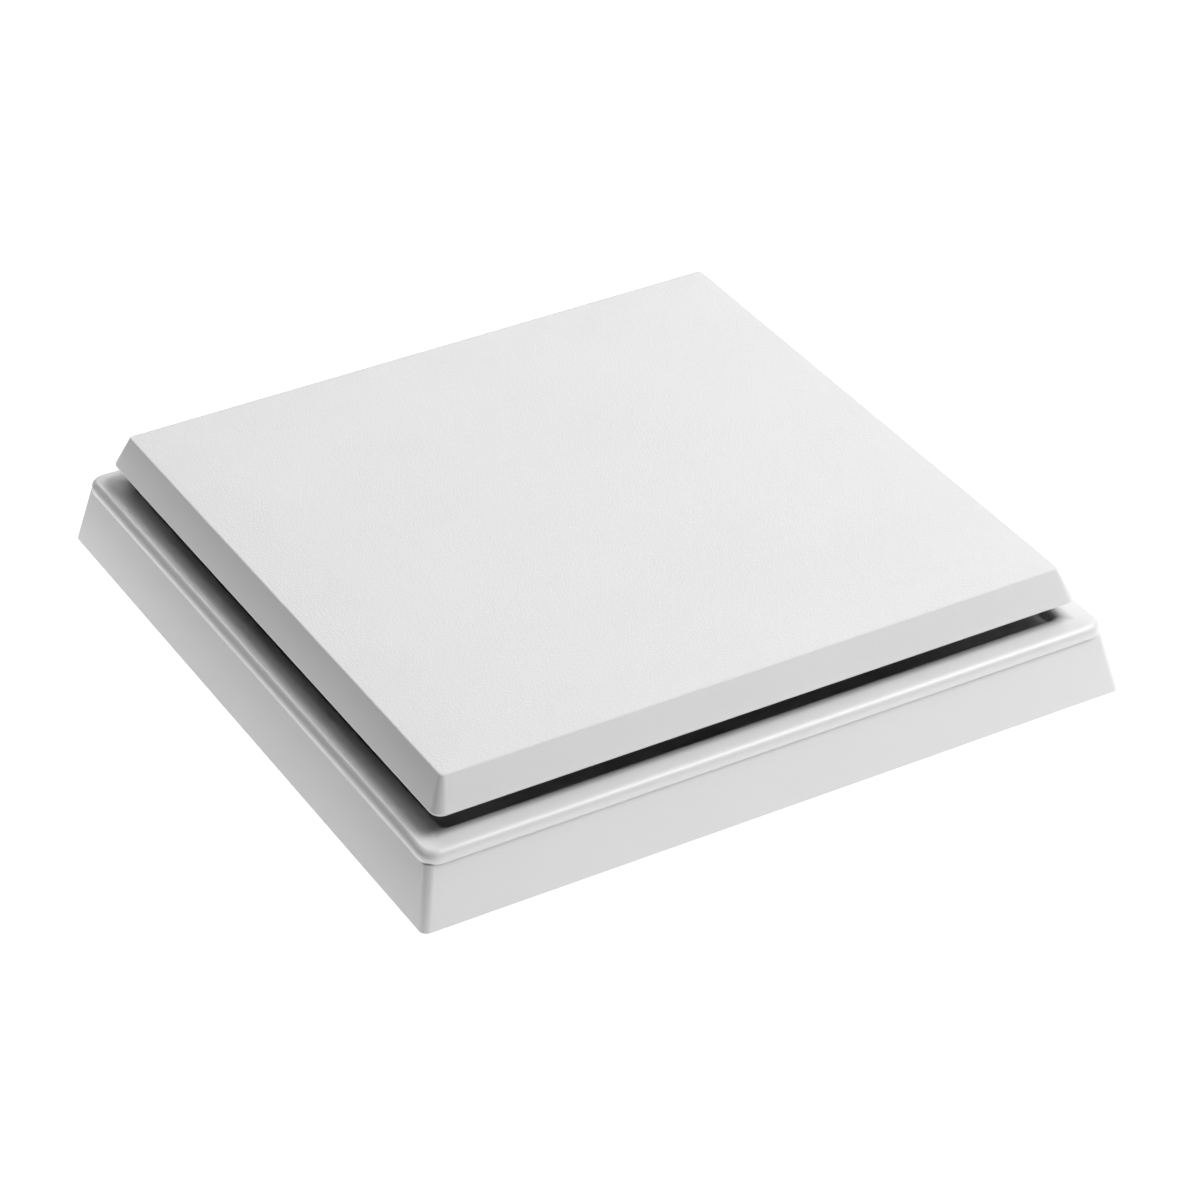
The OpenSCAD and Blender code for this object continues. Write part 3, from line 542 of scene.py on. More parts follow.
class Tree(Wiring):
    """A small Geometry Nodes tree with named inputs."""

    def __init__(self, name, **inputs):
        super().__init__(bpy.data.node_groups.new(name, "GeometryNodeTree"))
        kinds = {float: "NodeSocketFloat", int: "NodeSocketInt"}
        face = self.tree.interface
        face.new_socket("Geometry", in_out="INPUT", socket_type="NodeSocketGeometry")
        for label, value in inputs.items():
            kind = value if isinstance(value, str) else kinds[type(value)]
            socket = face.new_socket(label, in_out="INPUT", socket_type=kind)
            if not isinstance(value, str):
                socket.default_value = value
        face.new_socket("Geometry", in_out="OUTPUT", socket_type="NodeSocketGeometry")
        self.given = self.nodes.new("NodeGroupInput").outputs
        self.result = self.nodes.new("NodeGroupOutput").inputs["Geometry"]

    def vector(self, x=0.0, y=0.0, z=0.0):
        return self.add("ShaderNodeCombineXYZ", X=x, Y=y, Z=z).outputs[0]

    def turn(self, angle):
        """A rotation about Z."""
        return self.add("FunctionNodeEulerToRotation", Euler=self.vector(z=angle)).outputs[0]

    def piece(self):
        """The mesh of the object given as Piece."""
        return self.add("GeometryNodeObjectInfo", {"transform_space": "ORIGINAL"},
                        Object=self.given["Piece"]).outputs["Geometry"]

    def points(self, count, **where):
        return self.add("GeometryNodePoints", Count=count, **where).outputs[0]

    def copies(self, points, piece, **how):
        return self.add("GeometryNodeInstanceOnPoints", Points=points, Instance=piece,
                        **how).outputs[0]

    def real(self, geometry):
        return self.add("GeometryNodeRealizeInstances", Geometry=geometry).outputs[0]

    def both(self, first, second):
        node = self.add("GeometryNodeJoinGeometry")
        self.links.new(first.outputs[0], node.inputs[0])
        self.links.new(second.outputs[0], node.inputs[0])
        return node.outputs[0]

    def finish(self, geometry):
        coat = self.add("GeometryNodeSetMaterial", Geometry=self.real(geometry),
                        Material=self.given["Finish"])
        self.links.new(coat.outputs[0], self.result)
        return self.tree


def grown(name, tree, base=None, **values):
    """Runs a tree on a base mesh and returns the plain result."""
    piece = base or new_object(name, bpy.data.meshes.new(name))
    if not piece.data.vertices:
        piece.data.from_pydata([(0, 0, 0)], [], [])
    change = piece.modifiers.new("grow", "NODES")
    change.node_group = tree
    sockets = {s.name: s.identifier for s in tree.interface.items_tree
               if s.item_type == "SOCKET" and s.in_out == "INPUT"}
    for label, value in values.items():
        change[sockets[label]] = value
    return baked(piece)


def copies_at_points_tree():
    """A copy of a piece at each vertex of the base, each turned by its own angle."""
    t = Tree("copies_at_points", Piece="NodeSocketObject", Seed=3, Finish="NodeSocketMaterial")
    angle = t.add("FunctionNodeRandomValue", {"data_type": "FLOAT"},
                  Min=0.0, Max=math.pi, Seed=t.given["Seed"])
    angle = next(o for o in angle.outputs if o.enabled)
    return t.finish(t.copies(t.given["Geometry"], t.piece(), Rotation=t.turn(angle)))


def copies_round_axis_tree():
    """Copies of a piece, evenly spaced round the Z axis."""
    t = Tree("copies_round_axis", Piece="NodeSocketObject", Count=7, Finish="NodeSocketMaterial")
    number = t.add("GeometryNodeInputIndex").outputs[0]
    step = t.maths("DIVIDE", 2 * math.pi, t.given["Count"])
    return t.finish(t.copies(t.points(t.given["Count"]), t.piece(),
                             Rotation=t.turn(t.maths("MULTIPLY", number, step))))


def guard_tree():
    """Concentric round-edged rings crossed by spokes."""
    t = Tree("finger_guard", First=0.01, Pitch=0.008, Rings=5, Spokes=6, Reach=0.0475,
             Width=0.0014, Height=0.0019, Finish="NodeSocketMaterial")
    number = t.add("GeometryNodeInputIndex").outputs[0]
    size = t.maths("ADD", t.given["First"], t.maths("MULTIPLY", number, t.given["Pitch"]))
    circle = t.add("GeometryNodeCurvePrimitiveCircle", Resolution=96, Radius=1.0)
    hoops = t.real(t.copies(t.points(t.given["Rings"]), circle.outputs[0],
                            Scale=t.vector(size, size, 1.0)))
    half_w = t.maths("DIVIDE", t.given["Width"], 2.0)
    section = t.add("GeometryNodeCurvePrimitiveQuadrilateral",
                    Width=t.given["Height"], Height=t.given["Width"])
    section = t.add("GeometryNodeFilletCurve", {"mode": "POLY"}, Curve=section.outputs[0],
                    Radius=t.maths("MULTIPLY", half_w, 0.75), Count=3).outputs[0]
    rings = t.add("GeometryNodeCurveToMesh", Curve=hoops, Profile_Curve=section)
    line = t.add("GeometryNodeCurvePrimitiveLine",
                 Start=t.vector(t.maths("SUBTRACT", t.given["First"], half_w)),
                 End=t.vector(t.maths("SUBTRACT", t.given["Reach"], half_w)))
    angle = t.maths("MULTIPLY", t.maths("ADD", number, 0.5),
                    t.maths("DIVIDE", 2 * math.pi, t.given["Spokes"]))
    spread = t.real(t.copies(t.points(t.given["Spokes"]), line.outputs[0],
                             Rotation=t.turn(angle)))
    spokes = t.add("GeometryNodeCurveToMesh", Curve=spread, Profile_Curve=section,
                   Fill_Caps=True)
    return t.finish(t.both(rings, spokes))


def rib_grid_tree():
    """Straight stiffening ribs both ways, at regular spacing."""
    t = Tree("rib_grid", Reach=0.078, Spacing=0.058, Count=3, Thickness=0.0014, Height=0.003,
             Top=0.0288, Finish="NodeSocketMaterial")
    number = t.add("GeometryNodeInputIndex").outputs[0]
    middle = t.maths("DIVIDE", t.maths("SUBTRACT", t.given["Count"], 1.0), 2.0)
    along = t.maths("MULTIPLY", t.maths("SUBTRACT", number, middle), t.given["Spacing"])
    bar = t.add("GeometryNodeMeshCube",
                Size=t.vector(t.maths("MULTIPLY", t.given["Reach"], 2.0),
                              t.given["Thickness"], t.given["Height"]))
    row = t.real(t.copies(t.points(t.given["Count"], Position=t.vector(y=along)),
                          bar.outputs[0]))
    drop = t.maths("SUBTRACT", t.given["Top"], t.maths("DIVIDE", t.given["Height"], 2.0))
    one_way = t.add("GeometryNodeTransform", Geometry=row, Translation=t.vector(z=drop))
    other_way = t.add("GeometryNodeTransform", Geometry=row, Translation=t.vector(z=drop),
                      Rotation=(0.0, 0.0, math.pi / 2))
    return t.finish(t.both(one_way, other_way))


COPIES_AT_POINTS = copies_at_points_tree()
COPIES_ROUND_AXIS = copies_round_axis_tree()
GUARD = guard_tree()
RIB_GRID = rib_grid_tree()


# ---------------------------------------------------------------- measures from the model

def measures(node):
    low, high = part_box(node)
    return low / MM, high / MM


panel_low, panel_high = measures("front_panel")
fascia_low, fascia_high = measures("inlet_fascia")

PANEL_HALF = panel_high.x
PANEL_Z = panel_low.z
FACE_Z = panel_high.z
BEVEL = 3.8                     # how far the panel's slopes lean in
PANEL_T = 2.0
FACE_HALF = PANEL_HALF - BEVEL
UNDER_Z = FACE_Z - PANEL_T
PIN_AT = 58.0
POST_AT = 66.0

FASCIA_T = 1.6
LEDGE_Z = fascia_high.z
SEAT_Z = fascia_low.z
TRAY_DEPTH = 2.6
TRAY_Z = LEDGE_Z - TRAY_DEPTH
TRAY_UNDER = TRAY_Z - FASCIA_T
BEAD_OUT = fascia_high.x
BEAD_R = 3.0
LEDGE_OUT = BEAD_OUT - BEAD_R
LEDGE_W = 3.6                   # flat part of the ledge
LEDGE_ROLL = 2.0                # radius of its roll down to the tray
TRAY_HALF = LEDGE_OUT - LEDGE_W - LEDGE_ROLL

SKIRT_TOP = measures("skirt")[1].z
SKIRT_HALF = 90.0
SKIRT_LEAN = 3.3
SKIRT_T = 2.0

TUBE_END = measures("fan_tube")[0].z
SPIGOT_R = 49.3
TUBE_IN = SPIGOT_R - 2.3
COUNTERBORE = TUBE_IN + 0.8
FLANGE_Z = 4.5                  # top of the fan tube's flange
FLANGE_SCREWS = SPIGOT_R + 3.9  # radius of the circle of screws in it
HUB_R = 20.0

SHUTTER_UP = 8.0                # the shutter frame's top above the spigot's end
SEAT_T, SEAT_GAP = 0.8, 0.1     # the flaps close under a seat this thick
FLAP_TOP = TUBE_END + SHUTTER_UP - SEAT_T - SEAT_GAP
HINGE_Z = FLAP_TOP - 2.1
FLAP_T = 0.9
FRAME_T = 1.6
FLAP_R = TUBE_IN - 0.2 - FRAME_T - 0.5


# ---------------------------------------------------------------- front panel

def make_front_panel():
    """Bevelled panel, open below, with ribs and pin bosses under it."""
    face_corner, low_corner, corner_loss = 1.2, 3.2, 2.0
    outline = eased([
        (60.0, FACE_Z, 0.0), (FACE_HALF, FACE_Z, 0.6), (PANEL_HALF, PANEL_Z, 0.85),
        (PANEL_HALF - 2.2, PANEL_Z, 0.35), (FACE_HALF - 1.1, UNDER_Z, 0.9), (50.0, UNDER_Z, 0.0),
    ], 6)
    loops = []
    for half, z in outline:
        if half < FACE_HALF - 3.0:
            corner = face_corner
        else:
            share = (z - PANEL_Z) / (FACE_Z - PANEL_Z)
            edge = PANEL_HALF - BEVEL * share
            corner = max(low_corner - corner_loss * share - (edge - half), 0.25)
        loops.append(square_loop(half, corner, z, 8, 3))
    shell = loft("front_panel_shell", loops)
    settle(shell, "front_cover", "panel", ("front_panel",), 40.0)
    ribs = grown("front_panel_ribs", RIB_GRID, Reach=(FACE_HALF - 1.6) * MM, Spacing=PIN_AT * MM,
                 Top=(UNDER_Z + 0.3) * MM, Height=3.3 * MM, Finish=FINISH["white"])
    shape = bmesh.new()
    shape.from_mesh(ribs.data)
    bmesh.ops.bevel(shape, geom=shape.edges[:], offset=0.2 * MM, segments=2, affect="EDGES")
    shape.to_mesh(ribs.data)
    shape.free()
    settle(ribs, "front_cover", None, ("front_panel",))
    bosses = joined("front_panel_bosses", [peg("boss", x, y, [
        (0.1, UNDER_Z + 0.2), (5.4, UNDER_Z + 0.2), (5.4, PANEL_Z + 0.3), (5.3, PANEL_Z + 0.08),
        (5.1, PANEL_Z), (2.65, PANEL_Z), (2.6, PANEL_Z + 0.1), (2.6, UNDER_Z - 0.4),
        (0.1, UNDER_Z - 0.4)]) for x, y in corners(PIN_AT)])
    settle(bosses, "front_cover", "white", ("front_panel",))


def make_panel_pins():
    """Shouldered pins with a tapered nose and two grip grooves."""
    low, high = measures("panel_pins")
    shoulder = TRAY_Z + 1.5
    pins = joined("panel_pins_turned", [peg("pin", x, y, [
        (0.1, low.z), (1.5, low.z), (1.8, low.z + 0.1), (2.95, low.z + 1.4), (3.0, low.z + 1.7),
        (3.0, low.z + 2.6), (2.75, low.z + 2.9), (2.75, low.z + 3.5), (3.0, low.z + 3.8),
        (3.0, shoulder - 0.1), (3.1, shoulder), (4.7, shoulder), (5.0, shoulder + 0.3),
        (5.0, PANEL_Z - 0.3), (4.8, PANEL_Z - 0.02), (2.5, PANEL_Z - 0.02),
        (2.5, high.z - 0.3), (2.3, high.z), (0.1, high.z)], 40) for x, y in corners(PIN_AT)])
    settle(pins, "front_cover", "white", ("panel_pins",))


# ---------------------------------------------------------------- fascia and skirt

def make_inlet_fascia():
    """Bead, ledge, rolled edge, tray floor and bellmouth as one moulding of even wall."""
    bead_z = LEDGE_Z - BEAD_R
    crest, corner = 1.9, 4.2
    bell_r = TRAY_Z - SEAT_Z
    bell_c = COUNTERBORE + bell_r
    bell_out = bell_c + 1.0
    face = [(BEAD_OUT - 0.5, bead_z), (BEAD_OUT - 0.15, bead_z + 0.08),
            (BEAD_OUT - 0.03, bead_z + 0.3)]
    face += arc(BEAD_OUT - crest, LEDGE_Z - crest, crest, 0, 90, 14) + [(LEDGE_OUT, LEDGE_Z)]
    face += arc(TRAY_HALF + LEDGE_ROLL, LEDGE_Z - LEDGE_ROLL, LEDGE_ROLL, 90, 178, 9)
    face += [(TRAY_HALF - 0.15, TRAY_Z + 0.05), (TRAY_HALF - 0.6, TRAY_Z)]
    bell = [(bell_out, TRAY_Z)] + arc(bell_c, SEAT_Z, bell_r, 90, 180, 16)
    bell_back = arc(bell_c, SEAT_Z, bell_r - FASCIA_T, 180, 90, 12) + [(bell_out, TRAY_UNDER)]
    back = [(TRAY_HALF + FASCIA_T, TRAY_UNDER), (TRAY_HALF + FASCIA_T, LEDGE_Z - FASCIA_T),
            (LEDGE_OUT, LEDGE_Z - FASCIA_T)]
    back += arc(LEDGE_OUT, bead_z, BEAD_R - FASCIA_T, 80, 0, 6)
    loops = []
    for x, z in face + bell + bell_back + back:
        if x <= bell_out:
            loops.append(round_loop(x, z, 96, -math.pi / 4 + 2 * math.pi / 96))
        elif x >= LEDGE_OUT - 1.5:
            loops.append(square_loop(x, corner - (BEAD_OUT - x), z))
        else:
            loops.append(square_loop(x, 1.2 + max(x - TRAY_HALF, 0.0), z))
    body = loft("inlet_fascia_moulding", loops, closed=True)
    spots = [(sx * at, sy * at, radius) for sx, sy in corners(1)
             for at, radius in ((PIN_AT, 4.6), (POST_AT, 1.8))]
    spots += [(-38, 67, 3.4), (-28, 71, 3.4)]
    holes = [peg("hole", x, y, [(radius, TRAY_UNDER - 2), (radius, TRAY_Z + 2)])
             for x, y, radius in spots]
    body = carved(body, holes)
    settle(body, "housing", "fascia", ("inlet_fascia",), 30.0)


def make_skirt():
    """Leaning side wall with a flat flange inside it that carries the fascia."""
    slope = SKIRT_LEAN / SKIRT_TOP
    top_half = SKIRT_HALF - SKIRT_LEAN
    outline = eased([(SKIRT_HALF, 0.0, 0.3), (top_half, SKIRT_TOP, 0.35),
                     (top_half - SKIRT_T, SKIRT_TOP, 0.2), (SKIRT_HALF - SKIRT_T, 0.0, 0.3)], 4)
    loops = []
    for half, z in outline:
        outside = SKIRT_HALF - slope * z
        loops.append(square_loop(half, 2.0 - (outside - half), z, 8, 3))
    wall = loft("skirt_wall", loops, closed=True)
    settle(wall, "housing", "white", ("skirt",))
    low = TRAY_UNDER - 1.5
    rim = TRAY_HALF + FASCIA_T + 0.3
    outer = SKIRT_HALF - SKIRT_T - slope * low + 0.2
    start = POST_AT - 4.0
    inner = []
    for quarter in range(4):
        turn = Matrix.Rotation(math.radians(90 * quarter), 2)
        inner += [tuple(turn @ Vector(p)) for p in ((rim, -start), (rim, start), (start, start),
                                                    (start, rim))]
    edge = [(-outer, -outer), (outer, -outer), (outer, outer), (-outer, outer)]
    holes = [circle2(x, y, 1.8, 20) for x, y in corners(POST_AT)]
    flange = plate("skirt_flange", [edge, inner] + holes, low, TRAY_UNDER, 0.15)
    settle(flange, "housing", "white", ("skirt",))


# ---------------------------------------------------------------- duct

def make_fan_tube():
    """Duct with its flange, a slot for the lead and four screw holes."""
    step_z, flange_under = 0.5, 2.5
    collar, rim = SPIGOT_R + 0.6, SPIGOT_R + 7.0
    outline = eased([
        (SPIGOT_R - 0.7, TUBE_END, 0.2), (SPIGOT_R, TUBE_END + 1.0, 0.4), (SPIGOT_R, step_z, 0.1),
        (collar, step_z, 0.15), (collar, flange_under, 0.2), (rim, flange_under, 0.2),
        (rim, FLANGE_Z, 0.3), (COUNTERBORE, FLANGE_Z, 0.2), (COUNTERBORE, step_z, 0.1),
        (TUBE_IN, step_z, 0.3), (TUBE_IN, TUBE_END, 0.3)], 4)
    body = turned("fan_tube_moulding", outline, 128)
    cuts = [block("slot", (-1.5, 40, flange_under), (1.5, 60, 8), 0.1)]
    for quarter in range(4):
        angle = math.radians(45 + 90 * quarter)
        cuts.append(peg("hole", FLANGE_SCREWS * math.cos(angle), FLANGE_SCREWS * math.sin(angle),
                        [(1.6, 1), (1.6, 6)], 24))
    body = carved(body, cuts)
    settle(body, "housing", "frame_white", ("fan_tube",))


def make_finger_guard():
    low, high = measures("finger_guard")
    radius, lift, width = high.x, 0.8, 1.6
    height = high.z - low.z - lift
    arms = grown("finger_guard_rings", GUARD, First=10 * MM, Pitch=8 * MM, Rings=5, Spokes=6,
                 Reach=(radius - 0.3) * MM, Width=1.4 * MM, Height=height * MM,
                 Finish=FINISH["frame_white"])
    arms.data.transform(Matrix.Translation((0, 0, (low.z + lift + height / 2) * MM)))
    settle(arms, "housing", None, ("finger_guard",))
    rim = turned("finger_guard_rim", eased([
        (radius, low.z, 0.3), (radius, high.z, 0.5), (radius - width, high.z, 0.5),
        (radius - width, low.z, 0.3)], 3))
    settle(rim, "housing", "frame_white", ("finger_guard",))


# ---------------------------------------------------------------- impeller

def blade_point(f, t, side, middle):
    """A point of a swept, twisted blade; f from root to tip, t from leading to trailing edge."""
    root, tip, chord = HUB_R - 1, TUBE_IN - 1.2, 18.0 * (1 + 0.35 * f)
    radius = root + (tip - root) * f
    pitch = math.radians(52 - 24 * f)
    along = (0.5 - t) * chord
    thickness = 1.6 * (0.18 + 1.45 * math.sqrt(t) * (1 - t))
    off = chord * 0.28 * 0.36 * t * (1 - t) + side * thickness * (1 - 0.3 * f) / 2
    around = along * math.cos(pitch) - off * math.sin(pitch) + 3.5 * f * f
    rise = along * math.sin(pitch) + off * math.cos(pitch)
    angle = around / radius
    return Vector((radius * math.cos(angle), radius * math.sin(angle), middle + rise)) * MM


def make_impeller():
    low, high = measures("impeller")
    middle = (low.z + high.z) / 2
    sections, across = 18, 14
    spread = [0.5 - 0.5 * math.cos(math.pi * i / across) for i in range(across + 1)]
    loops = []
    for j in range(sections + 1):
        f = min(j / sections, 0.998)
        loops.append([blade_point(f, t, 1, middle) for t in spread]
                     + [blade_point(f, t, -1, middle) for t in reversed(spread)])
    blade = loft("blade", loops)
    blades = grown("impeller_blades", COPIES_ROUND_AXIS, Piece=blade, Count=7,
                   Finish=FINISH["blade"])
    bpy.data.objects.remove(blade)
    settle(blades, "rotor", None, ("impeller",), 45.0)
    inner, boss, bore, floor_z, boss_z = 17.65, 4.0, 1.52, low.z + 2.0, low.z + 4.5
    hub = turned("impeller_hub", eased([
        (HUB_R, high.z, 0.5), (inner, high.z, 0.3), (inner, floor_z, 0.3), (boss, floor_z, 0.4),
        (boss, boss_z, 0.3), (bore, boss_z, 0.1), (bore, low.z + 1.0, 0.0),
        (0.05, low.z + 1.0, 0.0), (0.05, low.z, 0.0), (HUB_R, low.z, 2.2)], 6))
    settle(hub, "rotor", "blade", ("impeller",))


# ---------------------------------------------------------------- motor

def make_windings():
    """Each tooth's coil: two layers of round wire wound on a rounded oblong."""
    low, high = measures("stator_windings")
    middle = (low.z + high.z) / 2
    half_z = (high.z - low.z) / 2
    start, end, half_wide, wire_r, wire_gap = 7.55, 12.55, 1.2, 0.21, 0.46
    turns, steps = 12, 12
    path = []
    for layer in range(2):
        grow = wire_gap * layer
        for step in range(turns * steps + 1):
            share = step / (turns * steps)
            radius = start + (end - start) * (share if layer % 2 == 0 else 1 - share)
            angle = 2 * math.pi * step / steps
            c, s = math.cos(angle), math.sin(angle)
            wide, tall = half_wide + grow, half_z - 0.72 + grow
            shape = (abs(c) ** 3 + abs(s) ** 3) ** (-1 / 3)
            path.append(Vector((radius, wide * c * shape, middle + tall * s * shape)) * MM)
    coil = tube("coil", path, wire_r * MM, 6)
    coils = grown("winding_coils", COPIES_ROUND_AXIS, Piece=coil, Count=9, Finish=FINISH["copper"])
    bpy.data.objects.remove(coil)
    settle(coils, "housing", None, ("stator_windings",), 60.0)


def make_preload_spring():
    low, high = measures("preload_spring")
    turns, steps, coil_r, end_gap = 4, 32, 2.85, 0.27
    path = []
    for step in range(turns * steps + 1):
        share = step / (turns * steps)
        angle = 2 * math.pi * step / steps
        path.append(Vector((coil_r * math.cos(angle), coil_r * math.sin(angle),
                            low.z + end_gap + (high.z - low.z - 2 * end_gap) * share)) * MM)
    spring = tube("preload_coil", path, 0.25 * MM, 10)
    settle(spring, "housing", "plated", ("preload_spring",), 60.0)


# ---------------------------------------------------------------- backdraft shutter

def make_flap(name, side, knuckles, node, body):
    """Half-round flap with a stiffened edge, two ribs and two knuckles."""
    gap, length, bore, barrel_r, steps = 2.4, 12, 1.06, 1.8, 64
    start = math.asin(gap / FLAP_R)
    rim = [(FLAP_R * math.cos(start + (math.pi - 2 * start) * i / steps),
            FLAP_R * math.sin(start + (math.pi - 2 * start) * i / steps))
           for i in range(steps + 1)]
    parts = [plate("flap", [rim], FLAP_TOP - FLAP_T, FLAP_TOP, 0.25)]
    lip = [(x * share, max(y * share, gap + 0.3))
           for share, edge in ((0.985, rim), (0.955, rim[::-1])) for x, y in edge]
    parts.append(plate("lip", [lip], FLAP_TOP - 1.5, FLAP_TOP - 0.8, 0.15))
    for x in (-24.0, 24.0):
        parts.append(block("rib", (x - 0.5, gap, FLAP_TOP - 1.7),
                           (x + 0.5, gap + FLAP_R * 0.7, FLAP_TOP - 0.7), 0.15))
    section = ((0, bore), (0, barrel_r - 0.2), (0.2, barrel_r), (length - 0.2, barrel_r),
               (length, barrel_r - 0.2), (length, bore))
    for x in knuckles:
        parts.append(loft("barrel", [[
            Vector((x + a, r * math.cos(u), HINGE_Z + r * math.sin(u))) * MM
            for u in (2 * math.pi * i / 32 for i in range(32))] for a, r in section], closed=True))
        parts.append(block("web", (x, 0.4, HINGE_Z + 1.1), (x + length, gap + 1.0, FLAP_TOP - 0.06),
                           0.15))
    flap = joined(name, parts)
    if side < 0:
        flipped = mirrored(flap, name + "_set")
        bpy.data.objects.remove(flap)
        flap = flipped
    settle(flap, body, "grey", (node,))


def make_flap_spring(name, side, x0, x1, node, body):
    """Torsion spring: three coils round the pin and a leg under the flap."""
    turns, steps, coil_r, wire_r = 3, 24, 1.45, 0.22
    leg_z = FLAP_TOP - FLAP_T - 0.25
    leg = [Vector((x0, y, z)) for y, z in ((13, leg_z), (8, leg_z), (4.6, leg_z),
                                           (3.4, leg_z - 0.5), (1.0, HINGE_Z - 1.4))]
    coil = []
    for step in range(turns * steps + 1):
        angle = 2 * math.pi * step / steps - math.pi / 2
        coil.append(Vector((x0 + (x1 - x0) * step / (turns * steps), coil_r * math.cos(angle),
                            HINGE_Z + coil_r * math.sin(angle))))
    path = [Vector((p.x, p.y * side, p.z)) * MM for p in smooth_path(leg, 5)[:-1] + coil]
    spring = tube(name, path, wire_r * MM, 8)
    settle(spring, body, "plated", (node,), 60.0)


# ---------------------------------------------------------------- screws

def screw(name, shank_r, head_r, head_h, length):
    """Pan-head screw at the origin, head seated at z = 0, with a cross recess and a thread."""
    outline = [(0.02, -length), (shank_r * 0.45, -length + 0.1)]
    pitch = shank_r * 0.75
    z = -length + shank_r
    outline.append((shank_r * 0.86, z))
    while z < -pitch:
        outline += [(shank_r, z + pitch * 0.25), (shank_r, z + pitch * 0.4),
                    (shank_r * 0.86, z + pitch * 0.8)]
        z += pitch
    outline += [(shank_r * 0.9, 0.0), (head_r - 0.15, 0.0), (head_r, 0.15), (head_r, head_h * 0.35)]
    outline += [(head_r * math.cos(a), head_h * (0.35 + 0.65 * math.sin(a)))
                for a in (math.radians(v) for v in (15, 30, 45, 60, 75, 88))]
    body = peg(name, 0, 0, outline, 32)
    arm = head_r * 0.55
    wide = max(head_r * 0.13, 0.2)
    cross = [block("arm", (-arm, -wide, head_h * 0.45), (arm, wide, head_h * 2), 0.05),
             block("arm", (-wide, -arm, head_h * 0.46), (wide, arm, head_h * 2.1), 0.05)]
    return carved(body, cross)


def make_screws():
    """Each set: its name, its node, spots (x, y, seat height), then what screw() takes."""
    low, high = measures("cover_screw")
    cover_seat = high.z - 1.5
    sets = (
        ("fascia_screw_set", "fascia_screws", [(x, y, TRAY_Z) for x, y in corners(POST_AT)],
         1.5, 3.2, 2.2, 10.6),
        ("tube_screw_set", "tube_screws",
         [(x, y, FLANGE_Z) for x, y in corners(FLANGE_SCREWS / math.sqrt(2))], 1.2, 2.6, 1.8, 3.9),
        ("board_screw_set", "board_screws", [(-46, 51, 5.1), (34, 57, 5.1)], 1.0, 2.3, 1.5, 4.1),
        ("clamp_screw_set", "clamp_screws", [(44, 65, 10), (44, 78, 10)], 1.2, 2.5, 1.6, 8.5),
        ("cover_screw_set", "cover_screw", [(-46, 75, cover_seat)],
         1.2, 2.4, 1.5, cover_seat - low.z),
    )
    for seed, (name, node, spots, *sizes) in enumerate(sets, 1):
        one = screw("screw", *sizes)
        mesh = bpy.data.meshes.new(name)
        mesh.from_pydata([tuple(v * MM for v in spot) for spot in spots], [], [])
        piece = grown(name, COPIES_AT_POINTS, new_object(name, mesh), Piece=one, Seed=seed,
                      Finish=FINISH["plated"])
        bpy.data.objects.remove(one)
        settle(piece, "housing", None, (node,))


# ---------------------------------------------------------------- rubber parts and the lead

def make_pin_grommets():
    low, high = measures("pin_grommets")
    outline = eased([
        (3.05, high.z, 0.4), (6.0, high.z, 0.5), (6.0, TRAY_Z, 0.15), (4.55, TRAY_Z, 0.0),
        (4.55, TRAY_UNDER, 0.0), (5.1, TRAY_UNDER, 0.2), (4.0, low.z, 0.3), (3.05, low.z, 0.3)], 4)
    grommets = []
    for x, y in corners(PIN_AT):
        one = turned("grommet", outline, 40)
        one.data.transform(Matrix.Translation((x * MM, y * MM, 0)))
        grommets.append(one)
    grommets = joined("pin_grommet_set", grommets)
    settle(grommets, "housing", "rubber", ("pin_grommets",))


def make_motor_lead():
    end = measures("motor_lead")[0].z
    route = [(65, 6.6), (61.6, 6.6), (60, 6.1), (58.9, 5.1), (58.2, 4.1), (57, 3.5), (48.2, 3.5),
             (43.5, 3.4), (14.2, 3.4), (12.9, 3.25), (12.2, 2.6), (12, 1.6), (12, end)]
    path = [p * MM for p in smooth_path([Vector((0, y, z)) for y, z in route], 4)]
    lead = tube("motor_lead_sleeve", path, 0.88 * MM, 12)
    settle(lead, "housing", "sleeve", ("motor_lead",), 60.0)


# ---------------------------------------------------------------- finishes for the nodes that stay

def dress_nodes():
    finishes = {
        "fixing_bushes": "rubber", "base_plate": "frame_white", "motor_bracket": "grey",
        "bearing_tube": "brass", "front_bearing": "steel", "rear_bearing": "steel",
        "motor_board": "board", "stator_core": "core", "shaft_clip": "plated",
        "motor_shaft": "steel", "rotor_cup": "steel", "rotor_magnet": "ferrite",
        "shutter_frame": "grey", "flap_pin": "steel", "control_board": "board",
        "electronics_cover": "frame_white", "terminal_block": "terminal",
        "terminal_screws": "plated", "relay": "black", "film_capacitor": "film",
        "electrolytic_capacitors": "can", "choke": "ferrite", "chips": "black",
        "humidity_sensor": "frame_white", "trimmer_bodies": "blue", "timer_knob": "white",
        "humidity_knob": "white", "lead_connector": "terminal", "cable_grommet": "rubber",
        "cable_clamp": "frame_white",
    }
    for node, finish in finishes.items():
        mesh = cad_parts[node].data
        mesh.materials.clear()
        mesh.materials.append(FINISH[finish])


make_front_panel()
make_panel_pins()
make_inlet_fascia()
make_skirt()
make_fan_tube()
make_finger_guard()
make_impeller()
make_windings()
make_preload_spring()
make_flap("upper_flap_leaf", 1, (-36, 4), "flap_upper", "upper_flap")
make_flap("lower_flap_leaf", -1, (-17, 23), "flap_lower", "lower_flap")
make_flap_spring("upper_flap_spring", 1, -3.9, -1.2, "upper_spring", "upper_flap")
make_flap_spring("lower_flap_spring", -1, 3.1, 0.4, "lower_spring", "lower_flap")
make_screws()
make_pin_grommets()
make_motor_lead()
dress_nodes()


# ---------------------------------------------------------------- floor, light and background

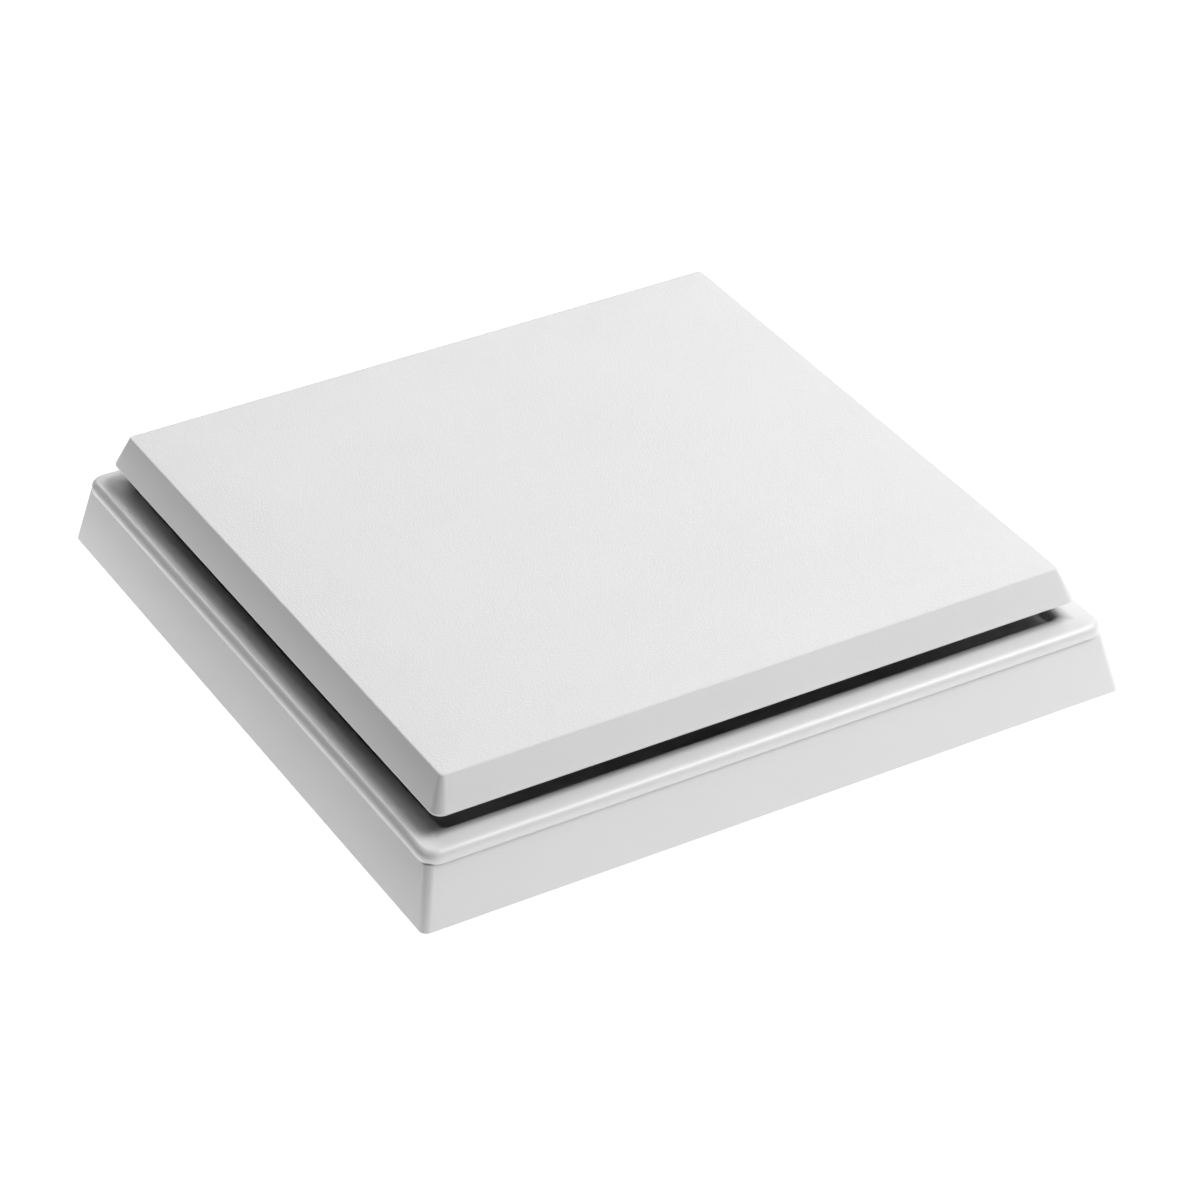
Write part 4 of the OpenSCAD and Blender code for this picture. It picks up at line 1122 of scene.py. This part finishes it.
def make_floor():
    """A large pale floor that stays white to the camera but keeps the shadow."""
    mesh = bpy.data.meshes.new("floor")
    reach, gap = 6, 0.2 * MM
    z = cad_box[0][2] - gap
    mesh.from_pydata([(-reach, -reach, z), (reach, -reach, z), (reach, reach, z),
                      (-reach, reach, z)], [], [(0, 1, 2, 3)])
    floor = new_object("floor", mesh)
    paper = Finish("floor_paper", 0.9, Specular_IOR_Level=0.0, Emission_Color=(1, 1, 1, 1))
    paper.colour((0.9, 0.9, 0.9))
    rays = paper.add("ShaderNodeLightPath").outputs
    seen = paper.maths("MAXIMUM", rays["Is Camera Ray"], rays["Is Glossy Ray"])
    paper.feed(paper.shader.inputs["Emission Strength"],
               paper.ramp(seen, 0.0, 1.0, FLOOR_GLOW, FLOOR_SEEN))
    one_sided = paper.fill(paper.add("ShaderNodeMixShader"),
                           paper.add("ShaderNodeNewGeometry").outputs["Backfacing"],
                           paper.shader.outputs[0],
                           paper.add("ShaderNodeBsdfTransparent").outputs[0])
    paper.feed(paper.nodes["Material Output"].inputs["Surface"], one_sided)
    mesh.materials.append(paper.material)


def make_world():
    """White to camera and transmission rays; light on the object comes only from below."""
    world = bpy.data.worlds.new("room")
    bpy.context.scene.world = world
    world.use_nodes = True
    room = Wiring(world.node_tree)
    rays = room.add("ShaderNodeLightPath").outputs
    seen = room.maths("MAXIMUM", rays["Is Camera Ray"], rays["Is Transmission Ray"])
    way = room.add("ShaderNodeTexCoord").outputs["Generated"]    # direction of the ray
    height = room.add("ShaderNodeSeparateXYZ", Vector=way).outputs["Z"]
    below = room.ramp(height, -0.1, 0.0, LOW_LIGHT, 0.0)
    back = room.nodes["Background"].inputs
    room.feed(back["Color"], (1, 1, 1, 1))
    room.feed(back["Strength"], room.maths("MAXIMUM", seen, below))


def soft_lamp(name, spot, size, power):
    """A square lamp that faces the middle of the object."""
    data = bpy.data.lights.new(name, "AREA")
    data.shape = "SQUARE"
    data.size = size
    data.energy = power
    lamp = bpy.data.objects.new(name, data)
    bpy.context.scene.collection.objects.link(lamp)
    lamp.location = spot
    lamp.rotation_euler = (-Vector(spot)).to_track_quat("-Z", "Y").to_euler()


FLOOR_GLOW = 0.47
FLOOR_SEEN = 0.82
LOW_LIGHT = 0.5

make_floor()
make_world()
soft_lamp("behind_left", (-0.5, 0.9, 1.3), 0.8, 6.0)
soft_lamp("behind_right", (0.4, 0.7, 1.3), 0.8, 18.6)
soft_lamp("left", (-1.2, 0.0, 1.1), 0.6, 5.6)

bpy.context.scene.view_settings.view_transform = "Standard"
